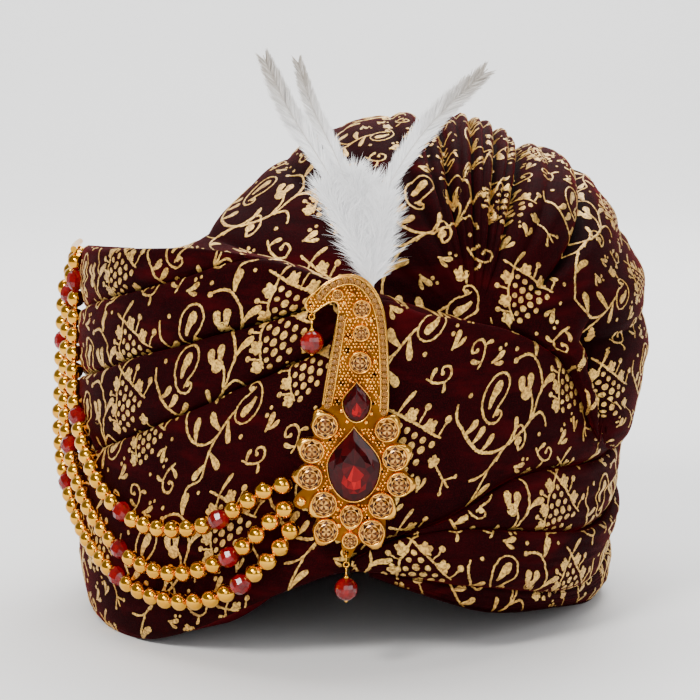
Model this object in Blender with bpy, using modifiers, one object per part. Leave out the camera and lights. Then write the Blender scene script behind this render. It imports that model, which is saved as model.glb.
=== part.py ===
# A tied turban of foil-printed velvet: four wound bands round an open head hollow, a pleated
# crown fan, and on the front a pierced gold brooch with set stones, glass drops, a feather
# plume and three strings of beads. It rests on its rim.
# Frame: metres, +Z up, the front faces -Y, the origin on the resting plane under the middle.

import math

import bmesh
import bpy
import numpy as np

# Cloth sizes
HEAD_HALF_WIDTH = 0.078
HEAD_HALF_DEPTH = 0.098
RING_HALF_WIDTH = 0.1225
RING_HALF_DEPTH = 0.1385
WRAP_HEIGHT = 0.175
WRAP_BULGE = 0.003
SEAM_DROP = 0.010
ROLL_TUCK = 0.007
FAN_REACH = 0.088
FAN_WALL = 0.003
PLEAT_DEPTH = 0.007
CLEARANCE = 0.0003
SEAM_GAP = 0.0007

# Brooch sizes; its rosette and rows keep their shares of its height
PLATE_THICKNESS = 0.0015
PIN_DIAMETER = 0.002
BROOCH_HEIGHT = 0.1145
BROOCH_BOTTOM = 0.0535
ROSETTE_LEAST = 0.118 * BROOCH_HEIGHT
PETAL_RADIUS = 0.0454 * BROOCH_HEIGHT
COLLET_WALL = 0.007 * BROOCH_HEIGHT
COLLET_DEPTH = 0.0022
STONE_RISE = 0.0016
ROW_DIAMETER = 0.0296 * BROOCH_HEIGHT
EYELET_HOLE = 0.0105 * BROOCH_HEIGHT
EYELET_RIM = 0.0105 * BROOCH_HEIGHT
LARGE_PEAR_LENGTH = 0.288 * BROOCH_HEIGHT
SMALL_PEAR_LENGTH = 0.1528 * BROOCH_HEIGHT
DROP_DIAMETER = 0.0097
DROP_HANG = 0.0155
LINK_WIRE = 0.0008

# String and plume sizes
BEAD_DIAMETER = 0.008
BEAD_PITCH = 0.0083
STRING_DIAMETER = 0.0026
STRING_PIN_DIAMETER = 0.003
PLUME_HEIGHT = 0.093
DOWN_WIDTH = 0.034
FEATHER_WIDTH = 0.013

# Outward form of the ring: height share, share of the outer half sizes
FORM = (
    (0.00, 0.965),
    (0.10, 0.990),
    (0.30, 1.000),
    (0.60, 1.000),
    (0.85, 0.985),
    (1.00, 0.965),
)

# Seams of the bands. The wind angle starts at the front and grows to the left and round the
# back; the heights are shares of WRAP_HEIGHT and the tuck is a share of ROLL_TUCK.
# angle, upper edge, seam of upper and middle, seam of middle and lower, lower edge, tuck
SEAMS = (
    (-4, 0.912, 0.912, 0.898, 0.886, 0.0),
    (0, 0.926, 0.926, 0.892, 0.845, 0.0),
    (3, 0.935, 0.935, 0.886, 0.800, 0.0),
    (6, 0.946, 0.946, 0.878, 0.765, 0.0),
    (11, 0.969, 0.969, 0.854, 0.738, 0.0),
    (17, 0.985, 0.985, 0.832, 0.700, 0.0),
    (22, 0.993, 0.978, 0.812, 0.674, 0.0),
    (28, 1.000, 0.960, 0.794, 0.634, 0.0),
    (34, 1.000, 0.930, 0.766, 0.600, 0.0),
    (46, 0.989, 0.886, 0.725, 0.534, 0.0),
    (62, 0.975, 0.834, 0.656, 0.458, 0.0),
    (90, 0.945, 0.749, 0.571, 0.343, 0.0),
    (120, 0.875, 0.663, 0.480, 0.229, 0.0),
    (150, 0.771, 0.571, 0.389, 0.097, 0.0),
    (165, 0.717, 0.526, 0.349, 0.030, 0.0),
    (180, 0.669, 0.486, 0.309, 0.000, 0.0),
    (210, 0.577, 0.406, 0.240, 0.000, 0.0),
    (240, 0.503, 0.343, 0.183, 0.000, 0.0),
    (270, 0.451, 0.286, 0.137, 0.000, 0.3),
    (282, 0.434, 0.266, 0.122, 0.017, 0.6),
    (294, 0.423, 0.254, 0.102, 0.040, 1.0),
    (304, 0.430, 0.259, 0.108, 0.063, 1.0),
    (313, 0.440, 0.280, 0.125, 0.080, 1.0),
    (320, 0.446, 0.295, 0.145, 0.089, 1.0),
    (327, 0.430, 0.312, 0.165, 0.100, 1.0),
    (333, 0.398, 0.323, 0.180, 0.117, 1.0),
    (338, 0.370, 0.331, 0.190, 0.140, 1.0),
    (343, 0.348, 0.330, 0.205, 0.163, 1.0),
    (348, 0.336, 0.323, 0.220, 0.186, 1.0),
    (352, 0.316, 0.316, 0.228, 0.205, 0.8),
    (356, 0.300, 0.300, 0.237, 0.224, 0.6),
    (360, 0.262, 0.262, 0.240, 0.240, 0.5),
)

# Upper edge of the front band right of the front, where it lies over the wound bands
# wind angle, height share
FRONT_EDGE = (
    (-78, 0.450),
    (-66, 0.475),
    (-56, 0.570),
    (-47, 0.715),
    (-40, 0.765),
    (-33, 0.805),
    (-22, 0.838),
    (-12, 0.862),
    (-8, 0.900),
    (-4, 0.886),
)

# Rim of the front band left of the front, arched over the brow
# wind angle, height share
FRONT_RIM = (
    (0, 0.240),
    (3, 0.237),
    (6, 0.222),
    (11, 0.197),
    (17, 0.164),
    (22, 0.135),
    (28, 0.095),
    (34, 0.060),
    (40, 0.031),
    (46, 0.008),
    (54, 0.000),
    (165, 0.000),
)

STATIONS = (0, 3, 6, 11, 17, 22, 28, 34, 40, 46, 54, 62, 70, 80, 90, 105, 120, 135, 150, 165, 180,
            195, 210, 225, 240, 255, 270, 282, 294, 304, 313, 320, 327, 333, 338, 343, 348, 352, 356)

# Outer side of one band: share of its height, share of WRAP_BULGE
BAND_SIDE = (
    (0.00, -0.7),
    (0.10, 0.1),
    (0.32, 0.7),
    (0.62, 1.0),
    (0.88, 1.0),
    (1.00, 0.3),
)

# Pleats of the crown, fanned about the gather: angle from +X, start, reach to the outline, depth
# of the outline, pleat, wind angle of the back seat and how far out it sits. Start and reach are
# shares of FAN_REACH, depth is a share of RING_HALF_DEPTH, pleat a share of PLEAT_DEPTH.
PLEATS = (
    (-48, 0.98, 1.03, -0.40, 0.0, 284, 0.92),
    (-42, 0.80, 1.02, -0.34, 0.3, 282, 0.92),
    (-34, 0.64, 1.01, -0.26, 0.5, 279, 0.92),
    (-27, 0.52, 1.00, -0.18, -0.3, 276, 0.92),
    (-20, 0.40, 0.98, -0.13, 0.4, 273, 0.92),
    (-10, 0.24, 0.96, -0.08, 0.5, 266, 0.92),
    (0, 0.12, 0.93, -0.04, 0.1, 258, 0.92),
    (6, 0.08, 0.91, 0.00, -0.9, 252, 0.92),
    (12, 0.08, 0.90, 0.00, 0.1, 246, 0.92),
    (24, 0.08, 0.87, 0.00, 0.7, 237, 0.92),
    (38, 0.08, 0.83, 0.00, 0.6, 226, 0.92),
    (50, 0.08, 0.82, 0.03, -0.3, 216, 0.90),
    (57, 0.08, 0.84, 0.06, 0.4, 210, 0.90),
    (64, 0.08, 0.81, 0.07, 0.2, 204, 0.88),
    (70, 0.08, 0.79, 0.07, -1.0, 198, 0.86),
    (75, 0.08, 0.83, 0.07, 0.4, 193, 0.84),
    (79, 0.08, 0.85, 0.07, -0.4, 188, 0.82),
    (83, 0.08, 0.87, 0.07, 0.4, 184, 0.80),
    (87, 0.08, 0.88, 0.07, -0.4, 180, 0.78),
    (91, 0.08, 0.88, 0.07, 0.4, 176, 0.75),
    (95, 0.08, 0.89, 0.07, -0.3, 171, 0.72),
    (100, 0.08, 0.90, 0.07, 0.3, 166, 0.68),
    (106, 0.08, 0.94, 0.07, 0.0, 160, 0.62),
    (114, 0.08, 0.98, 0.07, 0.1, 152, 0.55),
    (123, 0.08, 1.03, 0.05, -0.1, 144, 0.48),
    (132, 0.08, 1.09, 0.02, 0.1, 135, 0.42),
    (141, 0.08, 1.17, -0.02, 0.0, 126, 0.36),
    (150, 0.08, 1.22, -0.14, -0.1, 116, 0.30),
    (158, 0.08, 1.30, -0.32, 0.0, 106, 0.25),
    (164, 0.08, 1.35, -0.52, 0.0, 92, 0.22),
)
GATHER_WIND = -29
FAN_FRONT_STEPS = 6
FAN_BACK_STEPS = 4

# Routes of the bead strings: wind angle and height share, chosen along the strings
STRING_ROUTES = {
    "bead_string_1": ((10.6, 0.452), (12.3, 0.458), (16.0, 0.440), (20.3, 0.402), (27.1, 0.348),
                      (35.5, 0.320), (44.3, 0.320), (52.6, 0.352), (62.2, 0.418), (70.3, 0.490),
                      (77.0, 0.565), (81.6, 0.660), (83.6, 0.760), (84.6, 0.850), (85.0, 0.920)),
    "bead_string_2": ((10.6, 0.416), (12.2, 0.398), (14.2, 0.374), (17.6, 0.330), (23.0, 0.272),
                      (30.4, 0.226), (38.3, 0.208), (46.2, 0.222), (54.2, 0.258), (65.3, 0.326),
                      (76.0, 0.415), (84.0, 0.520), (87.8, 0.620), (89.2, 0.720), (89.8, 0.830),
                      (90.0, 0.920)),
    "bead_string_3": ((10.6, 0.372), (11.2, 0.342), (13.0, 0.306), (17.4, 0.245), (24.0, 0.180),
                      (31.8, 0.147), (40.0, 0.140), (48.2, 0.156), (57.6, 0.190), (68.2, 0.244),
                      (78.6, 0.322), (87.6, 0.415), (92.2, 0.520), (94.2, 0.640), (94.8, 0.800),
                      (95.0, 0.920)),
}

# Brooch drawing, in shares of BROOCH_HEIGHT: across from the middle, up from the bottom.
HOOK_OUTLINE = (
    (0.135, 0.530), (0.137, 0.600), (0.134, 0.700), (0.128, 0.800), (0.118, 0.872),
    (0.096, 0.930), (0.062, 0.975), (0.018, 0.997), (-0.032, 0.995), (-0.082, 0.972),
    (-0.126, 0.936), (-0.152, 0.912), (-0.159, 0.890), (-0.147, 0.870), (-0.124, 0.868),
    (-0.104, 0.884), (-0.060, 0.906), (-0.040, 0.886), (-0.048, 0.820), (-0.066, 0.720),
    (-0.084, 0.620), (-0.098, 0.530),
)
HOOK_EYELET = (-0.136, 0.892)
LOWER_EYELET = (-0.014, -0.012)
OUTER_ROW = (
    (0.120, 0.505), (0.123, 0.570), (0.120, 0.690), (0.114, 0.795), (0.104, 0.862),
    (0.084, 0.915), (0.054, 0.957), (0.016, 0.979), (-0.028, 0.978), (-0.072, 0.958),
    (-0.108, 0.920),
)
INNER_ROW = (
    (-0.030, 0.846), (-0.036, 0.800), (-0.052, 0.700), (-0.068, 0.600), (-0.081, 0.530),
)
# Petal collets round the large pear: across, up, share of PETAL_RADIUS
PETALS = (
    (-0.089, 0.456, 1.00), (-0.136, 0.365, 0.96), (-0.144, 0.268, 1.00), (-0.094, 0.170, 1.04),
    (-0.086, 0.072, 0.96), (0.004, 0.127, 0.90), (0.078, 0.066, 1.04), (0.112, 0.165, 1.04),
    (0.176, 0.242, 0.96), (0.162, 0.340, 1.04), (0.132, 0.442, 0.96), (0.000, 0.036, 0.60),
)
# Small stones inside the hook: across, up, share of PETAL_RADIUS
HOOK_STONES = (
    (-0.044, 0.930, 0.38), (0.042, 0.880, 0.68), (0.040, 0.792, 0.62), (0.036, 0.686, 0.86),
)
LARGE_PEAR_PLACE = (0.014, 0.318)
SMALL_PEAR_PLACE = (0.024, 0.545)
# Lower and upper end of the pin behind the plate
PIN_SPAN = (0.20, 0.68)
# Gaps cut through the plate: across, up, share of PETAL_RADIUS
GAPS = (
    (-0.006, 0.780, 0.28), (0.074, 0.740, 0.30), (-0.010, 0.728, 0.26), (0.082, 0.640, 0.30),
    (-0.030, 0.610, 0.26), (0.084, 0.540, 0.26), (-0.044, 0.540, 0.26), (0.078, 0.836, 0.24),
    (-0.100, 0.312, 0.22), (-0.066, 0.112, 0.22), (0.058, 0.116, 0.24), (0.134, 0.204, 0.22),
    (0.118, 0.290, 0.22), (0.104, 0.390, 0.24), (-0.068, 0.400, 0.22), (-0.090, 0.222, 0.22),
)

# Outline of the rosette: the place that it is seen from, the first and last direction in degrees
# and how many; the tab at its left
ROSETTE_MIDDLE = (0.010, 0.2675)
ROSETTE_SPAN = (61, -240)
ROSETTE_STEPS = 70
TAB_PLACE = (-0.176, 0.178)
TAB_SHARE = 0.62

# Plume: height share, middle across, width share of DOWN_WIDTH, thickness share of it
DOWN_SECTIONS = (
    (-0.10, 0.0094, 0.07, 0.07),
    (0.02, 0.0090, 0.10, 0.09),
    (0.10, 0.0086, 0.40, 0.26),
    (0.20, 0.0075, 0.86, 0.40),
    (0.37, 0.0040, 0.90, 0.44),
    (0.52, 0.0025, 1.00, 0.40),
    (0.60, 0.0030, 0.78, 0.30),
    (0.67, 0.0040, 0.30, 0.16),
)
# Feathers and locks: root across, root height share, tip across, tip height share, width share
FEATHERS = (
    (-0.0080, 0.50, -0.0345, 1.00, 1.00),
    (-0.0040, 0.54, -0.0213, 0.99, 0.80),
    (0.0130, 0.42, 0.0546, 0.94, 1.00),
)
LOCKS = (
    (-0.0060, 0.30, -0.0165, 0.44, 0.50),
    (-0.0070, 0.40, -0.0185, 0.60, 0.50),
    (-0.0050, 0.20, -0.0120, 0.30, 0.45),
    (0.0130, 0.30, 0.0240, 0.46, 0.50),
    (0.0150, 0.20, 0.0250, 0.30, 0.45),
    (0.0100, 0.50, 0.0230, 0.62, 0.45),
    (0.0030, 0.55, 0.0040, 0.76, 0.50),
)


def clear_scene():
    """Remove every object that the scene holds."""
    for item in list(bpy.data.objects):
        bpy.data.objects.remove(item, do_unlink=True)


def make_material(name, colour, roughness, metallic):
    """A Principled material of one colour."""
    finish = bpy.data.materials.new(name)
    finish.use_nodes = True
    shader = finish.node_tree.nodes["Principled BSDF"]
    shader.inputs["Base Color"].default_value = (*colour, 1.0)
    shader.inputs["Roughness"].default_value = roughness
    shader.inputs["Metallic"].default_value = metallic
    finish.diffuse_color = (*colour, 1.0)
    return finish


def add_object(name, data, finish, collection):
    """Link a mesh or curve under a name, with its material."""
    data.materials.append(finish)
    item = bpy.data.objects.new(name, data)
    collection.objects.link(item)
    return item


def column(table, index):
    """One column of a table as an array."""
    return np.array([row[index] for row in table], dtype=float)


def read_table(table, index, place):
    """Value of a column where the first column equals place."""
    return np.interp(place, column(table, 0), column(table, index))


def ring_point(wind, height, outward, proud):
    """A point of the ring wall: ellipse at a wind angle in degrees, outward from 0 at the head
    to 1 at the outer side, then proud of it by a length."""
    turn = np.radians(wind)
    form = read_table(FORM, 1, np.asarray(height) / WRAP_HEIGHT)
    half_x = HEAD_HALF_WIDTH + outward * (RING_HALF_WIDTH * form - HEAD_HALF_WIDTH) + proud
    half_y = HEAD_HALF_DEPTH + outward * (RING_HALF_DEPTH * form - HEAD_HALF_DEPTH) + proud
    x = -half_x * np.sin(turn)
    y = -half_y * np.cos(turn)
    return np.stack(np.broadcast_arrays(x, y, height), -1)


def loft(name, sections, finish, collection, smooth=True):
    """A closed solid through equal rings of points, fanned shut at both ends. The closing side is
    split along its other diagonal, so that two seams which face each other are split alike."""
    rings, sides = sections.shape[:2]
    middles = sections[[0, -1]].mean(axis=1)
    points = np.concatenate([sections.reshape(-1, 3), middles])
    ring, side = np.meshgrid(np.arange(rings - 1), np.arange(sides), indexing="ij")
    here = ring * sides + side
    beside = ring * sides + (side + 1) % sides
    walls = np.stack([here, beside, beside + sides, here, beside + sides, here + sides], -1)
    other = np.stack([here, beside, here + sides, beside, beside + sides, here + sides], -1)
    walls = np.where((side == sides - 1)[..., None], other, walls)
    edge = np.arange(sides)
    after = (edge + 1) % sides
    last = (rings - 1) * sides
    start_cap = np.stack([np.full(sides, rings * sides), after, edge], -1)
    end_cap = np.stack([np.full(sides, rings * sides + 1), last + edge, last + after], -1)
    faces = np.concatenate([walls.reshape(-1, 3), start_cap, end_cap])
    mesh = bpy.data.meshes.new(name)
    mesh.from_pydata(points.tolist(), [], faces.tolist())
    work = bmesh.new()
    work.from_mesh(mesh)
    bmesh.ops.recalc_face_normals(work, faces=work.faces)
    work.to_mesh(mesh)
    work.free()
    if smooth:
        mesh.shade_smooth()
        mesh.set_sharp_from_angle(angle=math.radians(50))
    return add_object(name, mesh, finish, collection)


def polyline(name, points, radius, finish, collection, shares=None, resolution=2):
    """A wire or bead string: a poly curve with a round bevel and filled caps."""
    curve = bpy.data.curves.new(name, "CURVE")
    curve.dimensions = "3D"
    curve.bevel_depth = radius
    curve.bevel_resolution = resolution
    curve.use_fill_caps = True
    line = curve.splines.new("POLY")
    line.points.add(len(points) - 1)
    for index, point in enumerate(points):
        line.points[index].co = (*point, 1.0)
        line.points[index].radius = 1.0 if shares is None else shares[index]
    return add_object(name, curve, finish, collection)


def unite(base, pieces):
    """Join pieces to a base with Boolean unions and hide the pieces."""
    for piece in pieces:
        piece.hide_render = True
        piece.display_type = "WIRE"
        union = base.modifiers.new("union " + piece.name, "BOOLEAN")
        union.operation = "UNION"
        union.solver = "EXACT"
        union.object = piece


def rim_share(wind):
    """Height share of the ring's lower edge at a wind angle."""
    winding = np.mod(np.asarray(wind, dtype=float) + 78, 360) - 78
    right = read_table(SEAMS, 4, winding + 360)
    left = np.where(winding > 165, 0.0, read_table(FRONT_RIM, 1, winding))
    return np.where(winding > 0, left, right)


def head_height(height, rim):
    """Height of a seam at the head: it falls inwards by SEAM_DROP, less near the rim."""
    return height - SEAM_DROP * np.clip((height - rim) / (2 * SEAM_DROP), 0.0, 1.0)


def band_sections(winds, upper, lower, tuck):
    """Sections of a wound band: the seams fall inwards from lip to head, and the outer side
    swells between them. At the rim the band is level through the wall, so the ring stands flat."""
    sections = []
    for wind, high, low, rim, sunk in zip(winds, upper, lower, rim_share(winds), tuck):
        top = high * WRAP_HEIGHT - SEAM_GAP / 2
        bottom = low * WRAP_HEIGHT + (0.0 if low <= rim else SEAM_GAP / 2)
        swell = WRAP_BULGE * min(1.0, (top - bottom) / (4 * WRAP_BULGE))
        shares = column(BAND_SIDE, 0)
        proud = column(BAND_SIDE, 1) * swell - sunk * ROLL_TUCK
        inner_heights = head_height(np.array([top, bottom]), rim * WRAP_HEIGHT)
        wall = RING_HALF_WIDTH - HEAD_HALF_WIDTH
        low_line = bottom + (bottom - inner_heights[1]) * proud / wall
        high_line = top + (top - inner_heights[0]) * proud / wall
        heights = low_line + shares * (high_line - low_line)
        side = ring_point(wind, heights, 1.0, proud)
        inner = ring_point(wind, inner_heights, 0.0, 0.0)
        sections.append(np.concatenate([side, inner]))
    return np.array(sections)


def stations_between(start, end):
    """Station angles from start to end, running on past one turn."""
    turns = [angle + 360 * turn for turn in (-1, 0, 1) for angle in STATIONS]
    return np.array([angle for angle in turns if start <= angle <= end], dtype=float)


def make_wraps(velvet, collection):
    """The three wound bands and the wide front band."""
    spans = {
        "wrap_upper": (22, 348, 1, 2),
        "wrap_middle": (-4, 360, 2, 3),
        "wrap_lower": (-4, 356, 3, 4),
    }
    for name, (start, end, top_column, low_column) in spans.items():
        winds = stations_between(start, end)
        upper = read_table(SEAMS, top_column, winds)
        lower = read_table(SEAMS, low_column, winds)
        lowest = name == "wrap_lower"
        tuck = read_table(SEAMS, 5, winds) if lowest else np.zeros(len(winds))
        loft(name, band_sections(winds, upper, lower, tuck), velvet, collection)
    winds = stations_between(-78, 165)
    upper = np.where(winds < -4, read_table(FRONT_EDGE, 1, winds), read_table(SEAMS, 4, winds))
    below = np.where(winds > 0, read_table(FRONT_RIM, 1, winds), read_table(SEAMS, 1, winds + 360))
    loft("wrap_front", band_sections(winds, upper, below, np.zeros(len(winds))), velvet, collection)


def ring_top(wind):
    """Height of the ring's top edge, the higher of the bands there."""
    winding = np.mod(np.asarray(wind, dtype=float) + 78, 360) - 78
    front = read_table(FRONT_EDGE, 1, winding)
    wound = read_table(SEAMS, 1, np.where(winding < -4, winding + 360, winding))
    share = np.where(winding < -4, front, wound)
    return share * WRAP_HEIGHT


def wall_share(x, y):
    """How far out a plan point lies in the ring wall: 0 at the head, 1 at the outer side."""
    inside = np.hypot(x / HEAD_HALF_WIDTH, y / HEAD_HALF_DEPTH) - 1
    outside = 1 - np.hypot(x / RING_HALF_WIDTH, y / RING_HALF_DEPTH)
    return inside / (inside + outside)


def rest_on_ring(points):
    """Lift points of the crown that would sink into the ring's top face."""
    x, y, z = points[..., 0], points[..., 1], points[..., 2]
    wind = np.degrees(np.arctan2(-x / RING_HALF_WIDTH, -y / RING_HALF_DEPTH))
    share = wall_share(x, y)
    seat = ring_top(wind) - SEAM_DROP * (1 - np.clip(share, 0, 1)) + FAN_WALL / 2 + SEAM_GAP
    on_wall = (share > -0.12) & (share < 1.1)
    points[..., 2] = np.where(on_wall, np.maximum(z, seat), z)
    return points


def fan_surface():
    """Crown surface: for each pleat a quarter ellipse from the gather up to the outline, then
    one back and down to its seat on the ring, with the pleat's height added outwards."""
    angle = np.radians(column(PLEATS, 0))[:, None]
    start = column(PLEATS, 1)[:, None]
    reach = column(PLEATS, 2)[:, None]
    depth = column(PLEATS, 3)[:, None] * RING_HALF_DEPTH
    pleat = column(PLEATS, 4)[:, None] * PLEAT_DEPTH
    back_wind = column(PLEATS, 5)
    back_out = column(PLEATS, 6)
    gather = ring_point(GATHER_WIND, ring_top(GATHER_WIND), 0.72, 0.0)
    seat = ring_point(back_wind, ring_top(back_wind) - SEAM_DROP * (1 - back_out), back_out, 0.0)
    seat = seat[:, None, :]

    rise = np.linspace(0, 1, FAN_FRONT_STEPS)[None, :]
    first = np.arcsin(np.clip(start / reach, 0, 1))
    sweep = first + (np.pi / 2 - first) * rise
    along = FAN_REACH * reach * np.sin(sweep)
    front_x = gather[0] + along * np.cos(angle)
    front_z = gather[2] + along * np.sin(angle)
    front_y = gather[1] + (depth - gather[1]) * (1 - np.cos(sweep))

    fall = np.linspace(0, 1, FAN_BACK_STEPS + 1)[None, 1:] * np.pi / 2
    crest_x = gather[0] + FAN_REACH * reach * np.cos(angle)
    crest_z = gather[2] + FAN_REACH * reach * np.sin(angle)
    back_x = crest_x + (seat[..., 0] - crest_x) * (1 - np.cos(fall))
    back_y = depth + (seat[..., 1] - depth) * np.sin(fall)
    back_z = crest_z + (seat[..., 2] - crest_z) * (1 - np.cos(fall))

    x = np.concatenate([front_x, back_x], axis=1)
    y = np.concatenate([front_y, back_y], axis=1)
    z = np.concatenate([front_z, back_z], axis=1)
    points = np.stack([x, y, z], -1)

    along_pleat = np.gradient(points, axis=1)
    across = np.gradient(points, axis=0)
    normal = np.cross(along_pleat, across)
    normal /= np.linalg.norm(normal, axis=-1, keepdims=True)
    middle = points.mean(axis=(0, 1))
    facing = np.sign(((points - middle) * normal).sum(-1).mean())
    steps = np.linspace(0, 1, FAN_FRONT_STEPS + FAN_BACK_STEPS)
    swell = np.interp(steps, (0, 0.2, 0.6, 1), (0, 1, 0.8, 0))[None, :]
    points += normal * facing * (pleat * swell)[..., None]
    return rest_on_ring(points)


def make_crown(velvet, collection):
    """The pleated crown as an open surface with a cloth wall."""
    points = fan_surface()
    pleats, steps = points.shape[:2]
    row, step = np.meshgrid(np.arange(pleats - 1), np.arange(steps - 1), indexing="ij")
    corner = row * steps + step
    faces = np.stack([corner, corner + 1, corner + steps + 1, corner + steps], -1).reshape(-1, 4)
    mesh = bpy.data.meshes.new("crown_fan")
    mesh.from_pydata(points.reshape(-1, 3).tolist(), [], faces.tolist())
    mesh.shade_smooth()
    crown = add_object("crown_fan", mesh, velvet, collection)
    wall = crown.modifiers.new("cloth wall", "SOLIDIFY")
    wall.thickness = FAN_WALL
    wall.offset = -1.0
    return crown


def smooth_route(route):
    """A finely read line through a route's points on the ring, by Catmull-Rom curves."""
    ends = np.array([route[0], *route, route[-1]], dtype=float)
    steps = np.linspace(0, 1, 12, endpoint=False)[:, None]
    pieces = []
    for before, here, after, beyond in zip(ends, ends[1:], ends[2:], ends[3:]):
        pieces.append(0.5 * (2 * here + (after - before) * steps
                             + (2 * before - 5 * here + 4 * after - beyond) * steps ** 2
                             + (3 * here - before - 3 * after + beyond) * steps ** 3))
    line = np.concatenate([*pieces, ends[-1:]])
    lift = WRAP_BULGE + BEAD_DIAMETER / 2 + CLEARANCE
    return ring_point(line[:, 0], line[:, 1] * WRAP_HEIGHT, 1.0, lift)


def make_bead_strings(gold, collection):
    """Each string is one curve whose radius swells to a bead at every pitch."""
    wide = 0.42 * BEAD_DIAMETER / 2
    neck = STRING_DIAMETER / BEAD_DIAMETER
    for name, route in STRING_ROUTES.items():
        line = smooth_route(route)
        legs = np.linalg.norm(np.diff(line, axis=0), axis=1)
        run = np.concatenate([[0.0], np.cumsum(legs)])
        beads = int(run[-1] / BEAD_PITCH)
        centres = (np.arange(beads) + 0.5) * run[-1] / beads
        necks = np.arange(beads + 1) * run[-1] / beads
        places = np.concatenate([necks, centres - wide, centres + wide])
        shares = np.concatenate([np.full(beads + 1, neck), np.full(2 * beads, 0.95)])
        order = np.argsort(places)
        points = np.stack([np.interp(places[order], run, line[:, axis]) for axis in range(3)], -1)
        polyline(name, points, BEAD_DIAMETER / 2, gold, collection, shares[order], 3)


def make_string_pin(gold, collection):
    """A plain bar across the three string ends at the left rear."""
    ends = [route[-1] for route in STRING_ROUTES.values()]
    winds = np.linspace(ends[0][0] - 1, ends[-1][0] + 1, 5)
    height = ends[0][1] * WRAP_HEIGHT + CLEARANCE + STRING_PIN_DIAMETER / 2
    bar = ring_point(winds, np.full(5, height), 1.0, WRAP_BULGE + BEAD_DIAMETER / 2)
    polyline("string_pin", bar, STRING_PIN_DIAMETER / 2, gold, collection)


def plate_back():
    """Distance of the brooch plate's back in front of the origin."""
    return RING_HALF_DEPTH + WRAP_BULGE + PIN_DIAMETER + 2 * CLEARANCE


def plate_front():
    """Distance of the brooch plate's face in front of the origin."""
    return plate_back() + PLATE_THICKNESS


def drawing_point(place):
    """A point of the brooch drawing in metres, across and up."""
    return np.array([place[0] * BROOCH_HEIGHT, BROOCH_BOTTOM + place[1] * BROOCH_HEIGHT])


def rosette_outline():
    """Outline of the petals' union as seen from the rosette's middle: along each direction the
    farthest exit from any petal disc."""
    middle = drawing_point(ROSETTE_MIDDLE)
    discs = [(*drawing_point(row), row[2] * PETAL_RADIUS + COLLET_WALL) for row in PETALS]
    tab = (*drawing_point(TAB_PLACE), PETAL_RADIUS * TAB_SHARE)
    ring = (*drawing_point(LOWER_EYELET), EYELET_HOLE + EYELET_RIM)
    discs += [tab, ring]
    directions = np.radians(np.linspace(*ROSETTE_SPAN, ROSETTE_STEPS))
    ray = np.stack([np.cos(directions), np.sin(directions)], -1)
    reach = np.full(len(directions), ROSETTE_LEAST)
    for across, up, radius in discs:
        offset = np.array([across, up]) - middle
        along = ray @ offset
        miss = offset @ offset - along ** 2
        hit = (miss < radius ** 2) & (along > 0)
        leave = along + np.sqrt(np.clip(radius ** 2 - miss, 0, None))
        reach = np.where(hit, np.maximum(reach, leave), reach)
    return middle + ray * reach[:, None]


def add_loop(curve, points):
    """One closed straight-sided loop of a flat curve."""
    line = curve.splines.new("POLY")
    line.points.add(len(points) - 1)
    for index, (across, up) in enumerate(points):
        line.points[index].co = (across, up, 0.0, 1.0)
    line.use_cyclic_u = True


def circle_points(centre, radius, count):
    """Points round a circle in the plane of the drawing."""
    turn = np.arange(count) * 2 * np.pi / count
    return np.stack([centre[0] + radius * np.cos(turn), centre[1] + radius * np.sin(turn)], -1)


def make_brooch_frame(gold, collection):
    """The pierced plate: a flat filled curve, stood up in front of the cloth."""
    curve = bpy.data.curves.new("brooch_frame", "CURVE")
    curve.dimensions = "2D"
    curve.fill_mode = "BOTH"
    curve.extrude = PLATE_THICKNESS / 2
    hook = np.array([drawing_point(place) for place in HOOK_OUTLINE])
    add_loop(curve, np.concatenate([rosette_outline(), hook[::-1]]))
    for across, up, share in GAPS:
        add_loop(curve, circle_points(drawing_point((across, up)), share * PETAL_RADIUS, 6))
    for eyelet in (HOOK_EYELET, LOWER_EYELET):
        add_loop(curve, circle_points(drawing_point(eyelet), EYELET_HOLE, 8))
    frame = add_object("brooch_frame", curve, gold, collection)
    frame.rotation_euler = (math.pi / 2, 0, 0)
    frame.location = (0, -(plate_back() + PLATE_THICKNESS / 2), 0)
    return frame


def make_brooch_pin(gold, collection):
    """A plain bar between the plate and the cloth."""
    forward = RING_HALF_DEPTH + WRAP_BULGE + CLEARANCE + PIN_DIAMETER / 2
    low = BROOCH_BOTTOM + PIN_SPAN[0] * BROOCH_HEIGHT
    high = BROOCH_BOTTOM + PIN_SPAN[1] * BROOCH_HEIGHT
    ends = [(0, -forward, low), (0, -forward, high)]
    polyline("brooch_pin", ends, PIN_DIAMETER / 2, gold, collection)


def round_form(count):
    """Unit circle."""
    turn = np.arange(count) * 2 * np.pi / count
    return np.stack([np.cos(turn), np.sin(turn)], -1)


def pear_form(count):
    """Unit pear, apex up: a circle narrowed towards the top by a power of the height."""
    turn = np.arange(count) * 2 * np.pi / count + np.pi / 2
    across = 0.70 * np.cos(turn) * (1 - np.clip(np.sin(turn), 0, 1) ** 1.6 * 0.92)
    return np.stack([across, np.sin(turn)], -1)


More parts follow.
